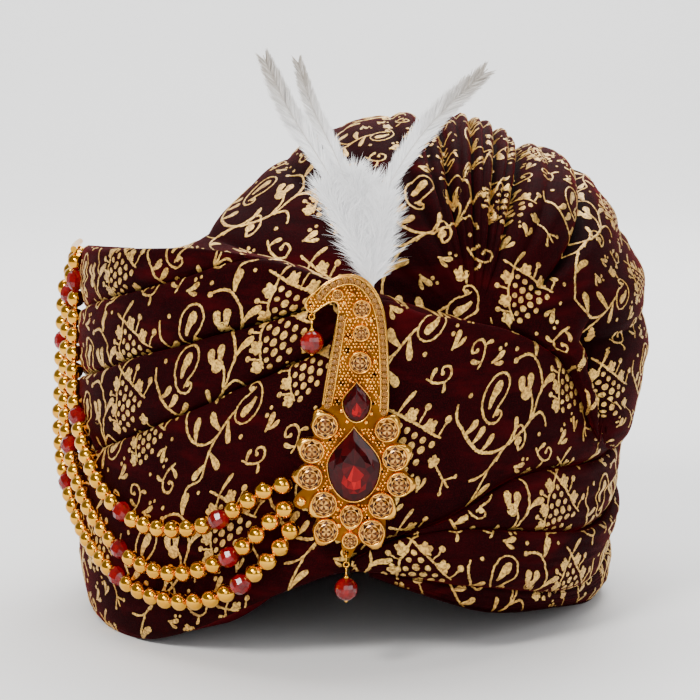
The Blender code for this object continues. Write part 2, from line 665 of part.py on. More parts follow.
def set_stone(name, place, size, form, finish, collection):
    """A cut stone in its collet, one body: collet wall, inner step, crown facets and table."""
    centre = drawing_point(place)
    inner = 1 - COLLET_WALL / size
    front = plate_front() + CLEARANCE
    steps = (
        (1.0, 0.0),
        (1.0, COLLET_DEPTH),
        (inner * 0.97, COLLET_DEPTH - COLLET_WALL / 2),
        (inner * 0.58, COLLET_DEPTH + STONE_RISE * (size / PETAL_RADIUS) ** 0.5 * 0.6),
    )
    rings = []
    for scale, rise in steps:
        outline = form * size * scale
        ring = np.stack([centre[0] + outline[:, 0], np.full(len(form), -(front + rise)),
                         centre[1] + outline[:, 1]], -1)
        rings.append(ring)
    return loft(name, np.array(rings), finish, collection, smooth=False)


def make_stones(garnet, topaz, collection):
    """The pears, the petals and the small stones of the hook."""
    large, small = LARGE_PEAR_LENGTH / 2, SMALL_PEAR_LENGTH / 2
    set_stone("stone_large_pear", LARGE_PEAR_PLACE, large, pear_form(14), garnet, collection)
    set_stone("stone_small_pear", SMALL_PEAR_PLACE, small, pear_form(10), garnet, collection)
    for group, stones in (("petal", PETALS), ("hook_stone", HOOK_STONES)):
        for index, (across, up, share) in enumerate(stones, 1):
            name = f"{group}_{index:02d}"
            set_stone(name, (across, up), share * PETAL_RADIUS, round_form(8), topaz, collection)


def make_rows(gold, collection):
    """The two rounded rows of small stones along the hook."""
    forward = plate_front() + CLEARANCE + ROW_DIAMETER / 2
    for name, row in (("row_outer", OUTER_ROW), ("row_inner", INNER_ROW)):
        drawn = [drawing_point(place) for place in row]
        line = [(across, -forward, up) for across, up in drawn]
        polyline(name, line, ROW_DIAMETER / 2, gold, collection)


def add_primitive(name, finish, collection):
    """Name the primitive just added and move it to a collection."""
    item = bpy.context.object
    item.name = name
    item.data.name = name
    item.data.materials.append(finish)
    for holder in list(item.users_collection):
        holder.objects.unlink(item)
    collection.objects.link(item)
    return item


def make_drop(name, eyelet, ruby, collection, cutters):
    """A glass bead under a wire link that goes through an eyelet of the plate."""
    across, hole_height = drawing_point(eyelet)
    middle_y = -(plate_back() + PLATE_THICKNESS / 2)
    link_radius = (EYELET_HOLE + EYELET_RIM) * 0.5 + LINK_WIRE + PLATE_THICKNESS * 0.35
    link_height = hole_height - link_radius
    bead_height = hole_height - DROP_HANG
    bpy.ops.mesh.primitive_uv_sphere_add(segments=10, ring_count=6, radius=DROP_DIAMETER / 2,
                                         location=(across, middle_y, bead_height))
    bead = add_primitive(name, ruby, collection)
    stem_top = link_height - link_radius + LINK_WIRE / 2
    stem_bottom = bead_height + DROP_DIAMETER / 2 - LINK_WIRE
    bpy.ops.mesh.primitive_cylinder_add(vertices=6, radius=LINK_WIRE / 2, depth=stem_top - stem_bottom,
                                        location=(across, middle_y, (stem_top + stem_bottom) / 2))
    stem = add_primitive(name + " stem", ruby, cutters)
    bpy.ops.mesh.primitive_torus_add(major_segments=10, minor_segments=5, major_radius=link_radius,
                                     minor_radius=LINK_WIRE / 2, location=(across, middle_y, link_height),
                                     rotation=(0, math.pi / 2, 0))
    link = add_primitive(name + " link", ruby, cutters)
    unite(bead, (stem, link))


def blade(name, root, tip, width, thickness, bend, finish, collection):
    """A feather blade: flat four-sided rings from root to tip, widest a third up, bent aside."""
    places = np.array((0.0, 0.15, 0.45, 0.78, 1.0))
    shares = np.array((0.30, 0.90, 1.0, 0.50, 0.06))
    root, tip = np.array(root), np.array(tip)
    along = tip - root
    aside = np.array([along[2], 0.0, -along[0]]) / np.linalg.norm(along)
    deep = np.array([0.0, 1.0, 0.0])
    turn = np.arange(4) * np.pi / 2
    rings = []
    for place, share in zip(places, shares):
        middle = root + along * place + aside * bend * 4 * place * (1 - place)
        rings.append(middle + np.outer(np.cos(turn) * width * share / 2, aside)
                     + np.outer(np.sin(turn) * thickness * max(share, 0.3) / 2, deep))
    return loft(name, np.array(rings), finish, collection)


def make_plume(down, collection, cutters):
    """White down on a quill, with three long feathers and short side locks, as one body."""
    base_height = BROOCH_BOTTOM + 0.955 * BROOCH_HEIGHT
    forward = plate_back() - CLEARANCE - 0.07 * DOWN_WIDTH / 2
    turn = np.arange(10) * 2 * np.pi / 10
    rings = []
    for place, across, wide, thick in DOWN_SECTIONS:
        rings.append(np.stack([across + np.cos(turn) * wide * DOWN_WIDTH / 2,
                               -forward + np.sin(turn) * thick * DOWN_WIDTH / 2,
                               np.full(10, base_height + place * PLUME_HEIGHT)], -1))
    plume = loft("plume", np.array(rings), down, collection)
    pieces = []
    for index, row in enumerate(FEATHERS + LOCKS, 1):
        root_across, root_share, tip_across, tip_share, width = row
        root = (root_across, -forward, base_height + root_share * PLUME_HEIGHT)
        tip = (tip_across, -forward + 0.0007 * index, base_height + tip_share * PLUME_HEIGHT)
        bend = 0.003 if tip_across < root_across else -0.003
        pieces.append(blade(f"lock {index}", root, tip, width * FEATHER_WIDTH,
                            0.16 * FEATHER_WIDTH, bend, down, cutters))
    unite(plume, pieces)


def centre_on_base(collection, cutters):
    """Parent the pieces to an empty and place it so that the origin is under the middle of the
    turban's outer box."""
    bpy.context.view_layer.update()
    graph = bpy.context.evaluated_depsgraph_get()
    lows, highs = [], []
    for item in collection.objects:
        shape = item.evaluated_get(graph)
        mesh = shape.to_mesh()
        points = np.empty(3 * len(mesh.vertices))
        mesh.vertices.foreach_get("co", points)
        place = np.array(item.matrix_world)
        placed = points.reshape(-1, 3) @ place[:3, :3].T + place[:3, 3]
        lows.append(placed.min(axis=0))
        highs.append(placed.max(axis=0))
        shape.to_mesh_clear()
    middle = (np.min(lows, axis=0) + np.max(highs, axis=0)) / 2
    base = bpy.data.objects.new("base centre", None)
    bpy.context.scene.collection.objects.link(base)
    for item in (*collection.objects, *cutters.objects):
        item.parent = base
    base.location = (-middle[0], -middle[1], 0.0)


def main():
    """Build every piece of the turban."""
    clear_scene()
    turban = bpy.data.collections.new("tied turban")
    cutters = bpy.data.collections.new("cutters")
    bpy.context.scene.collection.children.link(turban)
    bpy.context.scene.collection.children.link(cutters)
    velvet = make_material("maroon velvet", (0.045, 0.004, 0.009), 0.75, 0.0)
    plate_gold = make_material("antique gold", (0.80, 0.50, 0.16), 0.25, 1.0)
    bead_gold = make_material("polished gold", (0.83, 0.55, 0.14), 0.12, 1.0)
    garnet = make_material("garnet glass", (0.35, 0.005, 0.012), 0.05, 0.0)
    topaz = make_material("champagne glass", (0.75, 0.48, 0.22), 0.05, 0.0)
    ruby = make_material("red glass bead", (0.55, 0.008, 0.015), 0.08, 0.0)
    down = make_material("white down", (0.80, 0.79, 0.80), 0.90, 0.0)
    make_wraps(velvet, turban)
    make_crown(velvet, turban)
    make_brooch_frame(plate_gold, turban)
    make_brooch_pin(plate_gold, turban)
    make_rows(plate_gold, turban)
    make_stones(garnet, topaz, turban)
    make_drop("drop_upper", HOOK_EYELET, ruby, turban, cutters)
    make_drop("drop_lower", LOWER_EYELET, ruby, turban, cutters)
    make_bead_strings(bead_gold, turban)
    make_string_pin(bead_gold, turban)
    make_plume(down, turban, cutters)
    centre_on_base(turban, cutters)


main()
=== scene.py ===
# Looks of a tied turban: wound velvet bands with a gold foil print, a pleated crown, a jewelled
# brooch with a feather plume, and three strings of beads. Metres, +Z up, the front faces -Y.

import math

import bpy
import numpy as np
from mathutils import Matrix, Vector


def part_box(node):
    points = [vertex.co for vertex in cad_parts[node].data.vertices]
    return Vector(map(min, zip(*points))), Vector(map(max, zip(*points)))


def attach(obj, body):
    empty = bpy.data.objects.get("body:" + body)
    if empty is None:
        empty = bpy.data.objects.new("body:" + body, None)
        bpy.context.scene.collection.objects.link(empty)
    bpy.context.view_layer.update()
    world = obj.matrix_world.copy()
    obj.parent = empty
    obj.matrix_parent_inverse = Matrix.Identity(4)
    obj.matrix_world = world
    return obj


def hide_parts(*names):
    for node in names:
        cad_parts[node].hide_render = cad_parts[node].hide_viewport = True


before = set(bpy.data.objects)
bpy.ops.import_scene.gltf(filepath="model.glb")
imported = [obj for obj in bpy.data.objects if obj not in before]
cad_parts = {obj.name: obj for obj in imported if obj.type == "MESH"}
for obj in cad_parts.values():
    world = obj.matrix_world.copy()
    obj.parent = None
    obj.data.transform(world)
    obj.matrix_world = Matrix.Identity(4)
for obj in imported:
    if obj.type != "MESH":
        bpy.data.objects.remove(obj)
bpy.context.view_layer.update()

# Sizes that follow the solids
HEAD_HALF_WIDTH = 0.078
HEAD_HALF_DEPTH = 0.098
RING_HALF_WIDTH = 0.1225
RING_HALF_DEPTH = 0.1385
WRAP_HEIGHT = 0.175
SEAM_DROP = 0.010
ROLL_TUCK = 0.007
FAN_REACH = 0.088
WRAP_BULGE = 0.003
CLEARANCE = 0.0003
SEAM_GAP = 0.0007
PIN_DIAMETER = 0.002
PLATE_THICKNESS = 0.0015
BROOCH_HEIGHT = 0.1145
BROOCH_BOTTOM = 0.0535
PETAL_RADIUS = 0.0052
DROP_DIAMETER = 0.0097
DROP_HANG = 0.0155
BEAD_DIAMETER = 0.008
BEAD_PITCH = 0.0083
PLUME_HEIGHT = 0.093
GATHER_WIND = -29
PIN_FORWARD = RING_HALF_DEPTH + WRAP_BULGE + CLEARANCE + PIN_DIAMETER / 2
PLATE_BACK = RING_HALF_DEPTH + WRAP_BULGE + PIN_DIAMETER + 2 * CLEARANCE
PLATE_FRONT = PLATE_BACK + PLATE_THICKNESS

pin_low, pin_high = np.array(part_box("brooch_pin"))
BASE = np.array([(pin_low[0] + pin_high[0]) / 2, (pin_low[1] + pin_high[1]) / 2 + PIN_FORWARD, 0.0])

# Finer sizes of the looks
LIP_RADIUS = 0.0026
WRINKLE = 0.0006
PRINT_LIFT = 0.00028
SETTING_WALL = 0.0006
STROKE_STEP = 0.0009
WIND_STEP = 1.0
BAND_RADIUS = 0.13
BAND_STEPS = 30
SEAM_STEPS = 5
CLOTH_THICKNESS = 0.0022
CREST_STEPS = 76
FALL_STEPS = 48
START_STEPS = 6
END_STEPS = 8
CROWN_REST = 0.0026
STRING_INSET = 0.0018
BEAD_THREAD = 0.0018
JUMP_RING = 0.0021
WIRE_EYE = 0.0011
WIRE_RADIUS = 0.00036
PAVE_PITCH = 0.00262
CAMERA_LENS = 138.9
CAMERA_DISTANCE = 1.25
CAMERA_RISE = 9
AIM_HEIGHT = 0.114

# Outward form of the ring: height share, share of the outer half sizes
FORM = ((0.00, 0.965), (0.10, 0.990), (0.30, 1.000), (0.60, 1.000), (0.85, 0.985), (1.00, 0.965))

# Seams of the bands: wind angle, upper edge, seam of upper and middle, seam of middle and lower,
# lower edge, tuck
SEAMS = (
    (-4, 0.912, 0.912, 0.898, 0.886, 0.0), (0, 0.926, 0.926, 0.892, 0.845, 0.0),
    (3, 0.935, 0.935, 0.886, 0.800, 0.0), (6, 0.946, 0.946, 0.878, 0.765, 0.0),
    (11, 0.969, 0.969, 0.854, 0.738, 0.0), (17, 0.985, 0.985, 0.832, 0.700, 0.0),
    (22, 0.993, 0.978, 0.812, 0.674, 0.0), (28, 1.000, 0.960, 0.794, 0.634, 0.0),
    (34, 1.000, 0.930, 0.766, 0.600, 0.0), (46, 0.985, 0.886, 0.725, 0.534, 0.0),
    (62, 0.963, 0.834, 0.656, 0.458, 0.0), (90, 0.929, 0.749, 0.571, 0.343, 0.0),
    (120, 0.875, 0.663, 0.480, 0.229, 0.0), (150, 0.771, 0.571, 0.389, 0.097, 0.0),
    (165, 0.717, 0.526, 0.349, 0.030, 0.0), (180, 0.669, 0.486, 0.309, 0.000, 0.0),
    (210, 0.577, 0.406, 0.240, 0.000, 0.0), (240, 0.503, 0.343, 0.183, 0.000, 0.0),
    (270, 0.451, 0.286, 0.137, 0.000, 0.3), (282, 0.434, 0.266, 0.122, 0.017, 0.6),
    (294, 0.423, 0.254, 0.102, 0.040, 1.0), (304, 0.430, 0.259, 0.108, 0.063, 1.0),
    (313, 0.440, 0.280, 0.125, 0.080, 1.0), (320, 0.446, 0.295, 0.145, 0.089, 1.0),
    (327, 0.430, 0.312, 0.165, 0.100, 1.0), (333, 0.398, 0.323, 0.180, 0.117, 1.0),
    (338, 0.370, 0.331, 0.190, 0.140, 1.0), (343, 0.348, 0.330, 0.205, 0.163, 1.0),
    (348, 0.336, 0.323, 0.220, 0.186, 1.0), (352, 0.316, 0.316, 0.228, 0.205, 0.8),
    (356, 0.300, 0.300, 0.237, 0.224, 0.6), (360, 0.262, 0.262, 0.240, 0.240, 0.5),
)
FRONT_EDGE = (
    (-78, 0.450), (-66, 0.475), (-56, 0.570), (-47, 0.715), (-40, 0.765), (-33, 0.805),
    (-22, 0.838), (-12, 0.862), (-8, 0.900), (-4, 0.886),
)
FRONT_RIM = (
    (0, 0.240), (3, 0.237), (6, 0.222), (11, 0.197), (17, 0.164), (22, 0.135), (28, 0.095),
    (34, 0.060), (40, 0.031), (46, 0.008), (54, 0.000), (165, 0.000),
)

# Swelling of the bands at one side: wind angle of its middle, length
SIDE_SWELL = {"wrap_upper": (272, -0.0020), "wrap_middle": (274, -0.0044),
              "wrap_lower": (276, 0.0004), "wrap_front": (58, 0.0058)}
SWELL_REACH = 24

# Crown pleats: angle from +X, start, reach, depth of the outline, wind angle of the back seat and
# how far out it sits
PLEATS = (
    (-48, 0.98, 1.03, -0.40, 284, 0.92), (-42, 0.80, 1.02, -0.34, 282, 0.92),
    (-34, 0.64, 1.01, -0.26, 279, 0.92), (-27, 0.52, 1.00, -0.18, 276, 0.92),
    (-20, 0.40, 0.98, -0.13, 273, 0.92), (-10, 0.24, 0.96, -0.08, 266, 0.92),
    (0, 0.12, 0.93, -0.04, 258, 0.92), (12, 0.08, 0.90, 0.00, 246, 0.92),
    (24, 0.08, 0.87, 0.00, 237, 0.92), (38, 0.08, 0.83, 0.00, 226, 0.92),
    (50, 0.08, 0.82, 0.03, 216, 0.90), (57, 0.08, 0.83, 0.06, 210, 0.90),
    (64, 0.08, 0.81, 0.07, 204, 0.88), (70, 0.08, 0.81, 0.07, 198, 0.86),
    (79, 0.08, 0.85, 0.07, 188, 0.82), (87, 0.08, 0.88, 0.07, 180, 0.78),
    (95, 0.08, 0.89, 0.07, 171, 0.72), (100, 0.08, 0.90, 0.07, 166, 0.68),
    (106, 0.08, 0.94, 0.07, 160, 0.62), (114, 0.08, 0.98, 0.07, 152, 0.55),
    (123, 0.08, 1.03, 0.05, 144, 0.48), (132, 0.08, 1.09, 0.02, 135, 0.42),
    (141, 0.08, 1.17, -0.02, 126, 0.36), (150, 0.08, 1.22, -0.14, 116, 0.30),
    (158, 0.08, 1.30, -0.32, 106, 0.25), (164, 0.08, 1.35, -0.52, 92, 0.22),
)

# Creases of the crown: angle at the gather, angle at the outline, depth and width in millimetres
CREASES = (
    (-16, -4, 5.0, 6.0), (4, 22, 2.5, 6.0), (20, 50, 8.0, 5.5), (50, 62, 3.0, 4.0), (70, 69, 12.0, 3.6),
    (76, 74, 5.0, 1.8), (81, 79, 10.0, 2.4), (86, 84, 5.0, 1.8), (91, 88, 10.0, 2.4), (96, 93, 5.0, 1.8),
    (101, 98, 10.0, 2.6), (107, 104, 5.0, 3.0), (116, 113, 4.0, 4.5), (130, 127, 2.0, 7.0),
    (146, 143, 3.0, 8.0),
)
# Swelling of the crown: direction in degrees, length
CROWN_SWELL = (
    (-40, 0.0), (-30, -0.0014), (22, -0.0012), (36, 0.0010), (50, 0.0032), (94, 0.0024), (104, 0.0),
    (120, -0.0010), (150, -0.0018), (164, -0.0018),
)
# Roll at the crown's lower right end and the valley beside it: direction in degrees, height share
# of the roll; direction in degrees, distance of the valley from the gather
INNER_ROLL = ((-48, 0.0), (-42, 1.0), (-12, 1.0), (2, 0.0))
INNER_VALLEY = ((-50, 0.0895), (-43, 0.0770), (-25, 0.0575), (-10, 0.0520))
# How far out the crown's edges stand on the ring: direction or step along the edge, outward share
LEAST_SEAT = ((130, 0.84), (160, 0.58))
START_FOOT = ((-48, 0.94), (-28, 0.92), (12, 0.80))
END_FOOT = ((0, 0.90), (60, 0.62), (94, 0.40), (123, 0.58))

# Routes of the bead strings: wind angle and height share
STRING_ROUTES = {
    "bead_string_1": ((10.6, 0.452), (12.3, 0.458), (16.0, 0.440), (20.3, 0.402), (27.1, 0.348),
                      (35.5, 0.320), (44.3, 0.320), (52.6, 0.352), (62.2, 0.418), (70.3, 0.490),
                      (77.0, 0.565), (81.6, 0.660), (83.6, 0.760), (84.6, 0.850), (85.0, 0.920)),
    "bead_string_2": ((10.6, 0.416), (12.2, 0.398), (14.2, 0.374), (17.6, 0.330), (23.0, 0.272),
                      (30.4, 0.226), (38.3, 0.208), (46.2, 0.222), (54.2, 0.258), (65.3, 0.326),
                      (76.0, 0.415), (84.0, 0.520), (87.8, 0.620), (89.2, 0.720), (89.8, 0.830),
                      (90.0, 0.920)),
    "bead_string_3": ((10.6, 0.372), (11.2, 0.342), (13.0, 0.306), (17.4, 0.245), (24.0, 0.180),
                      (31.8, 0.147), (40.0, 0.140), (48.2, 0.156), (57.6, 0.190), (68.2, 0.244),
                      (78.6, 0.322), (87.6, 0.415), (92.2, 0.520), (94.2, 0.640), (94.8, 0.800),
                      (95.0, 0.920)),
}
RED_BEADS = {"bead_string_1": (4, 11, 19, 27), "bead_string_2": (4, 12, 21, 30),
             "bead_string_3": (4, 13, 22, 31)}

# How much further each string stands off the cloth at the left, and there the share of it by
# height share
STRING_SWAY = {"bead_string_1": -0.0010, "bead_string_2": 0.0028, "bead_string_3": 0.0068}
SWAY_SHARE = ((0.24, 0.2), (0.46, 1.0), (0.80, 1.0), (0.92, 0.0))

# Brooch drawing, in shares of BROOCH_HEIGHT: across from the middle, up from the bottom
HOOK_EDGE = (
    (0.135, 0.530), (0.137, 0.600), (0.134, 0.700), (0.128, 0.800), (0.118, 0.872),
    (0.096, 0.930), (0.062, 0.975), (0.018, 0.997), (-0.032, 0.995), (-0.082, 0.972),
    (-0.126, 0.936), (-0.152, 0.912), (-0.159, 0.890), (-0.147, 0.870), (-0.124, 0.868),
    (-0.104, 0.884), (-0.060, 0.906), (-0.040, 0.886), (-0.048, 0.820), (-0.066, 0.720),
    (-0.084, 0.620), (-0.098, 0.530),
)
HOOK_EYELET = (-0.136, 0.892)
LOWER_EYELET = (-0.014, -0.012)
OUTER_ROW = (
    (0.120, 0.505), (0.123, 0.570), (0.120, 0.690), (0.114, 0.795), (0.104, 0.862),
    (0.084, 0.915), (0.054, 0.957), (0.016, 0.979), (-0.028, 0.978), (-0.072, 0.958),
    (-0.108, 0.920),
)
INNER_ROW = ((-0.030, 0.846), (-0.036, 0.800), (-0.052, 0.700), (-0.068, 0.600), (-0.081, 0.530))
# Petal collets: across, up, share of PETAL_RADIUS
PETALS = (
    (-0.089, 0.456, 1.00), (-0.136, 0.365, 0.96), (-0.144, 0.268, 1.00), (-0.094, 0.170, 1.04),
    (-0.086, 0.072, 0.96), (0.004, 0.127, 0.90), (0.078, 0.066, 1.04), (0.112, 0.165, 1.04),
    (0.176, 0.242, 0.96), (0.162, 0.340, 1.04), (0.132, 0.442, 0.96), (0.000, 0.036, 0.60),
)
HOOK_STONES = (
    (-0.044, 0.930, 0.38), (0.042, 0.880, 0.68), (0.040, 0.792, 0.62), (0.036, 0.686, 0.86),
)
LARGE_PEAR = (0.014, 0.318, 0.0165)
SMALL_PEAR = (0.024, 0.545, 0.00875)
ROSETTE_MIDDLE = (0.014, 0.260)
STRING_TAB = (-0.176, 0.178)
# Larger balls between the stones: across, up
BALLS = (
    (0.000, 0.840), (0.076, 0.836), (-0.014, 0.770), (0.084, 0.760), (-0.026, 0.700), (0.090, 0.690),
    (0.000, 0.620), (0.062, 0.622), (-0.030, 0.510), (0.076, 0.500), (-0.010, 0.470), (0.058, 0.468),
    (-0.050, 0.420), (0.084, 0.412), (-0.080, 0.320), (0.110, 0.300), (-0.070, 0.230), (0.100, 0.225),
    (-0.044, 0.150), (0.050, 0.150), (-0.040, 0.090), (0.040, 0.080), (-0.020, 0.900), (0.010, 0.930),
    (0.068, 0.900),
)
# Section of a collet: wall outwards in shares of SETTING_WALL, rise in shares of its height
COLLET = ((1.7, 0.0), (1.5, 0.35), (1.2, 0.70), (0.7, 0.98), (0.25, 1.02), (-0.1, 0.92), (-0.3, 0.60))
# Painted reflections: brightness of a round stone's rings of facets, from the girdle to the table
FACET_RINGS = (0.80, 0.12, 0.55, 0.95, 0.05, 0.50, 0.20)

# Shafts under the down: across from the brooch's middle, height and depth from the plume's root
PLUME_ROOT = 0.0092
SHAFTS = (
    (-0.0115, 0.044, -0.003), (-0.006, 0.049, 0.003), (0.001, 0.050, 0.000), (0.008, 0.046, 0.003),
    (0.0145, 0.040, -0.003),
)
# Long feathers: three points, across and up in shares of PLUME_HEIGHT, and the length of the barbs
FEATHERS = (
    ((-0.0070, 0.46), (-0.0240, 0.76), (-0.0350, 1.01), 0.0085),
    ((-0.0030, 0.50), (-0.0150, 0.78), (-0.0215, 1.00), 0.0065),
    ((0.0130, 0.38), (0.0300, 0.68), (0.0555, 0.95), 0.0090),
)

# Print motifs, charted in millimetres. Each row is a kind of mark, its width and its points.
PAISLEY = (
    ("line", 1.3, (0.4, -5.5), (2.6, -6.6), (2.4, -9.0), (-0.4, -10.2), (-3.8, -8.8), (-6.4, -5.0),
     (-7.4, 0.6), (-5.8, 6.0), (-2.0, 9.8), (2.4, 10.6), (6.4, 8.2), (7.2, 3.4), (5.0, -1.0),
     (1.2, -4.0), (-1.8, -7.4)),
    ("drop", 5.6, (-3.6, -2.6), (-1.6, 1.5), (1.0, 4.4), (2.6, 7.2)),
    ("dot", 2.8, (0.7, -6.3)),
)
VINE = (
    ("line", 1.5, (-22.3, 9.0), (-23.2, 3.6), (-21.0, -1.8), (-17.5, -9.0), (-12.0, -16.3),
     (-4.8, -20.2), (2.4, -20.5), (9.6, -17.5), (14.5, -13.9), (18.0, -9.0), (20.8, -3.6),
     (22.0, 0.6), (20.8, 7.2), (18.0, 12.0), (13.9, 14.5), (7.4, 14.2)),
    ("dot", 2.6, (6.8, 13.8)),
    ("drop", 4.0, (-19.9, -5.1), (-16.5, -4.4), (-13.0, -2.2)),
    ("drop", 4.0, (-15.7, -10.8), (-12.8, -9.4), (-9.8, -6.6)),
    ("drop", 3.6, (-11.4, -16.3), (-8.0, -14.8), (-5.2, -12.0)),
    ("drop", 2.8, (5.4, -18.7), (6.6, -14.0), (6.7, -10.0)),
    ("drop", 4.0, (21.7, -1.8), (25.6, 1.4), (30.9, 3.2)),
    ("drop", 4.8, (18.7, 12.7), (19.6, 17.0), (22.0, 21.4)),
    ("line", 1.4, (14.5, -13.9), (16.0, -8.0), (16.0, -4.8), (14.4, -2.2)),
    ("dot", 6.0, (12.6, -2.0)),
    ("drop", 4.6, (11.4, -2.0), (9.8, 2.0), (9.8, 6.2)),
    ("drop", 4.6, (13.4, -2.0), (14.6, 2.0), (15.0, 6.2)),
    ("line", 1.4, (14.5, -13.9), (20.5, -11.7), (23.5, -14.5), (24.7, -18.7)),
    ("line", 1.4, (1.2, -20.5), (-1.0, -22.2), (-3.4, -25.0)),
)
DOT_FIELD = (
    ("line", 1.4, (0.0, 0.0), (-2.4, -5.4), (-5.1, -10.8), (-5.7, -17.5), (-5.4, -23.5), (-4.5, -27.0)),
    ("line", 1.4, (-4.8, 4.2), (0.0, 0.0), (5.4, -4.8), (10.8, -9.3), (15.7, -13.9), (19.6, -16.9)),
    ("drop", 2.4, (0.0, 0.0), (3.6, 3.6), (8.4, 7.2)),
    ("clover", 0, (-3.2, -6.6), (-5.8, -3.6)), ("clover", 0, (-5.8, -17.4), (-9.2, -15.6)),
    ("clover", 0, (-5.6, -26.4), (-9.0, -24.6)), ("clover", 0, (5.0, -4.4), (7.6, -0.6)),
    ("clover", 0, (13.4, -11.8), (16.4, -8.0)),
    ("line", 1.2, (-5.4, -10.8), (-9.6, -8.6)), ("dot", 2.6, (-10.4, -8.2)),
    ("line", 1.2, (-6.0, -22.4), (-11.0, -20.4)), ("dot", 2.6, (-11.8, -20.0)),
    ("line", 1.2, (9.6, -7.6), (13.2, -2.4)), ("dot", 3.0, (13.9, -1.4)),
    ("line", 1.2, (18.7, -15.6), (22.8, -10.8)), ("dot", 3.2, (23.4, -10.0)),
    ("dot", 2.6, (0.9, -5.6)), ("dot", 2.6, (-1.2, -9.8)), ("dot", 2.8, (4.2, -8.8)),
    ("dot", 2.6, (-2.4, -14.6)), ("dot", 3.4, (2.2, -12.9)), ("dot", 2.8, (7.6, -12.2)),
    ("dot", 2.4, (-2.9, -19.3)), ("dot", 3.4, (1.0, -17.4)), ("dot", 3.6, (6.0, -16.3)),
    ("dot", 2.8, (11.4, -15.4)), ("dot", 2.4, (-2.6, -23.8)), ("dot", 3.2, (1.2, -22.0)),
    ("dot", 3.2, (5.4, -20.8)), ("dot", 3.4, (10.6, -19.6)), ("dot", 2.8, (15.6, -18.6)),
    ("dot", 2.8, (3.4, -26.0)), ("dot", 2.8, (8.4, -24.4)), ("dot", 2.8, (-1.4, -27.6)),
)
LOOP = (
    ("line", 1.5, (-14.0, 19.0), (-8.0, 18.0), (-3.0, 19.5), (3.0, 24.0), (8.0, 27.0), (10.5, 31.0)),
    ("line", 1.5, (-3.0, 19.5), (-9.0, 12.0), (-12.6, 5.0), (-13.6, -3.0), (-12.0, -10.5),
     (-7.0, -16.5), (0.0, -19.0), (6.5, -17.0), (12.0, -12.5), (17.0, -9.5)),
    ("drop", 4.4, (-12.2, 5.0), (-7.0, 9.4), (-2.0, 11.0)),
    ("drop", 4.6, (-7.4, -16.0), (-6.8, -10.0), (-5.2, -5.0)),
    ("drop", 4.4, (8.0, -16.0), (4.2, -10.5), (2.8, -5.6)),
    ("drop", 3.8, (12.4, -12.4), (12.0, -18.0), (12.2, -23.4)),
    ("line", 1.5, (6.5, -17.0), (1.6, -22.0), (-1.4, -28.0), (-4.4, -34.0), (-12.0, -35.0),
     (-15.4, -41.0)),
    ("drop", 4.2, (-1.6, -28.0), (-5.6, -30.0), (-9.4, -32.4)),
    ("drop", 4.4, (1.6, -24.0), (4.2, -28.4), (6.4, -33.0)),
    ("line", 1.4, (10.5, 31.0), (14.2, 32.0), (17.0, 28.0), (17.2, 23.0), (14.0, 20.4), (12.4, 24.0)),
    ("dot", 4.2, (13.2, 24.8)),
)
SPRIG = (
    ("line", 1.3, (0.0, 8.0), (0.8, 2.0), (1.2, -4.0)),
    ("line", 1.3, (1.2, -4.0), (-2.4, -9.0)), ("line", 1.3, (1.2, -4.0), (2.4, -10.0)),
    ("line", 1.3, (1.2, -4.0), (7.0, -7.0)), ("dot", 2.2, (-2.8, -9.6)), ("dot", 2.2, (7.6, -7.2)),
    ("clover", 0, (0.0, 7.0), (0.0, 12.0)),
)
BUD = (
    ("drop", 3.2, (0.0, -4.0), (0.5, -1.0), (0.2, 3.4)),
    ("drop", 2.2, (0.2, -3.2), (2.6, -1.4), (4.2, 1.4)),
    ("dot", 1.8, (-2.4, 1.6)), ("dot", 1.5, (-2.0, 4.6)),
)
CURL = (
    ("line", 1.3, (-5.6, -5.4), (-1.0, -4.6), (3.2, -1.8), (4.0, 2.2), (1.0, 4.4), (-1.8, 2.6),
     (-0.6, 0.4)),
    ("dot", 1.9, (-0.2, 0.6)), ("drop", 2.4, (-2.6, -4.8), (-4.0, -2.4), (-4.4, 0.8)),
    ("drop", 2.2, (3.2, -1.8), (5.2, -3.4), (6.0, -5.4)),
)
TREFOIL = (("clover", 0, (0.0, -2.6), (0.0, 1.6)), ("line", 1.2, (0.0, -2.2), (0.6, -3.6), (-0.4, -5.0)))
SPECK = (("dot", 1.9, (0.0, 0.0)),)
# Leaves of a clover: across and up from its root, width
CLOVER = ((-2.9, 1.6, 2.8), (-1.5, 4.9, 3.2), (1.7, 5.1, 3.2), (3.2, 1.6, 2.8))

# One repeat of the print in millimetres, how far each row is set aside from the one below as a
# share of its width, and the least room round a small motif
REPEAT = (88.0, 100.0)
STAGGER = 0.42
PRINT_ROOM = 1.3
# The repeat's motifs: motif, across and up in millimetres, turn in degrees, size
REPEAT_MOTIFS = (
    (VINE, 25.0, 26.0, 0, 1.0), (PAISLEY, 21.0, 28.0, 0, 0.95), (DOT_FIELD, 64.0, 40.0, 0, 0.95),
    (LOOP, 58.0, 82.0, 0, 0.92), (DOT_FIELD, 14.0, 90.0, 8, 0.85), (PAISLEY, 80.0, 74.0, 160, 0.80),
    (SPRIG, 82.0, 8.0, 20, 0.8),
)
# Small motifs that fill bare ground: motif, radius in millimetres, tries
FILLERS = ((CURL, 7.4, 240), (BUD, 4.8, 200), (TREFOIL, 4.2, 160), (SPECK, 2.2, 60))


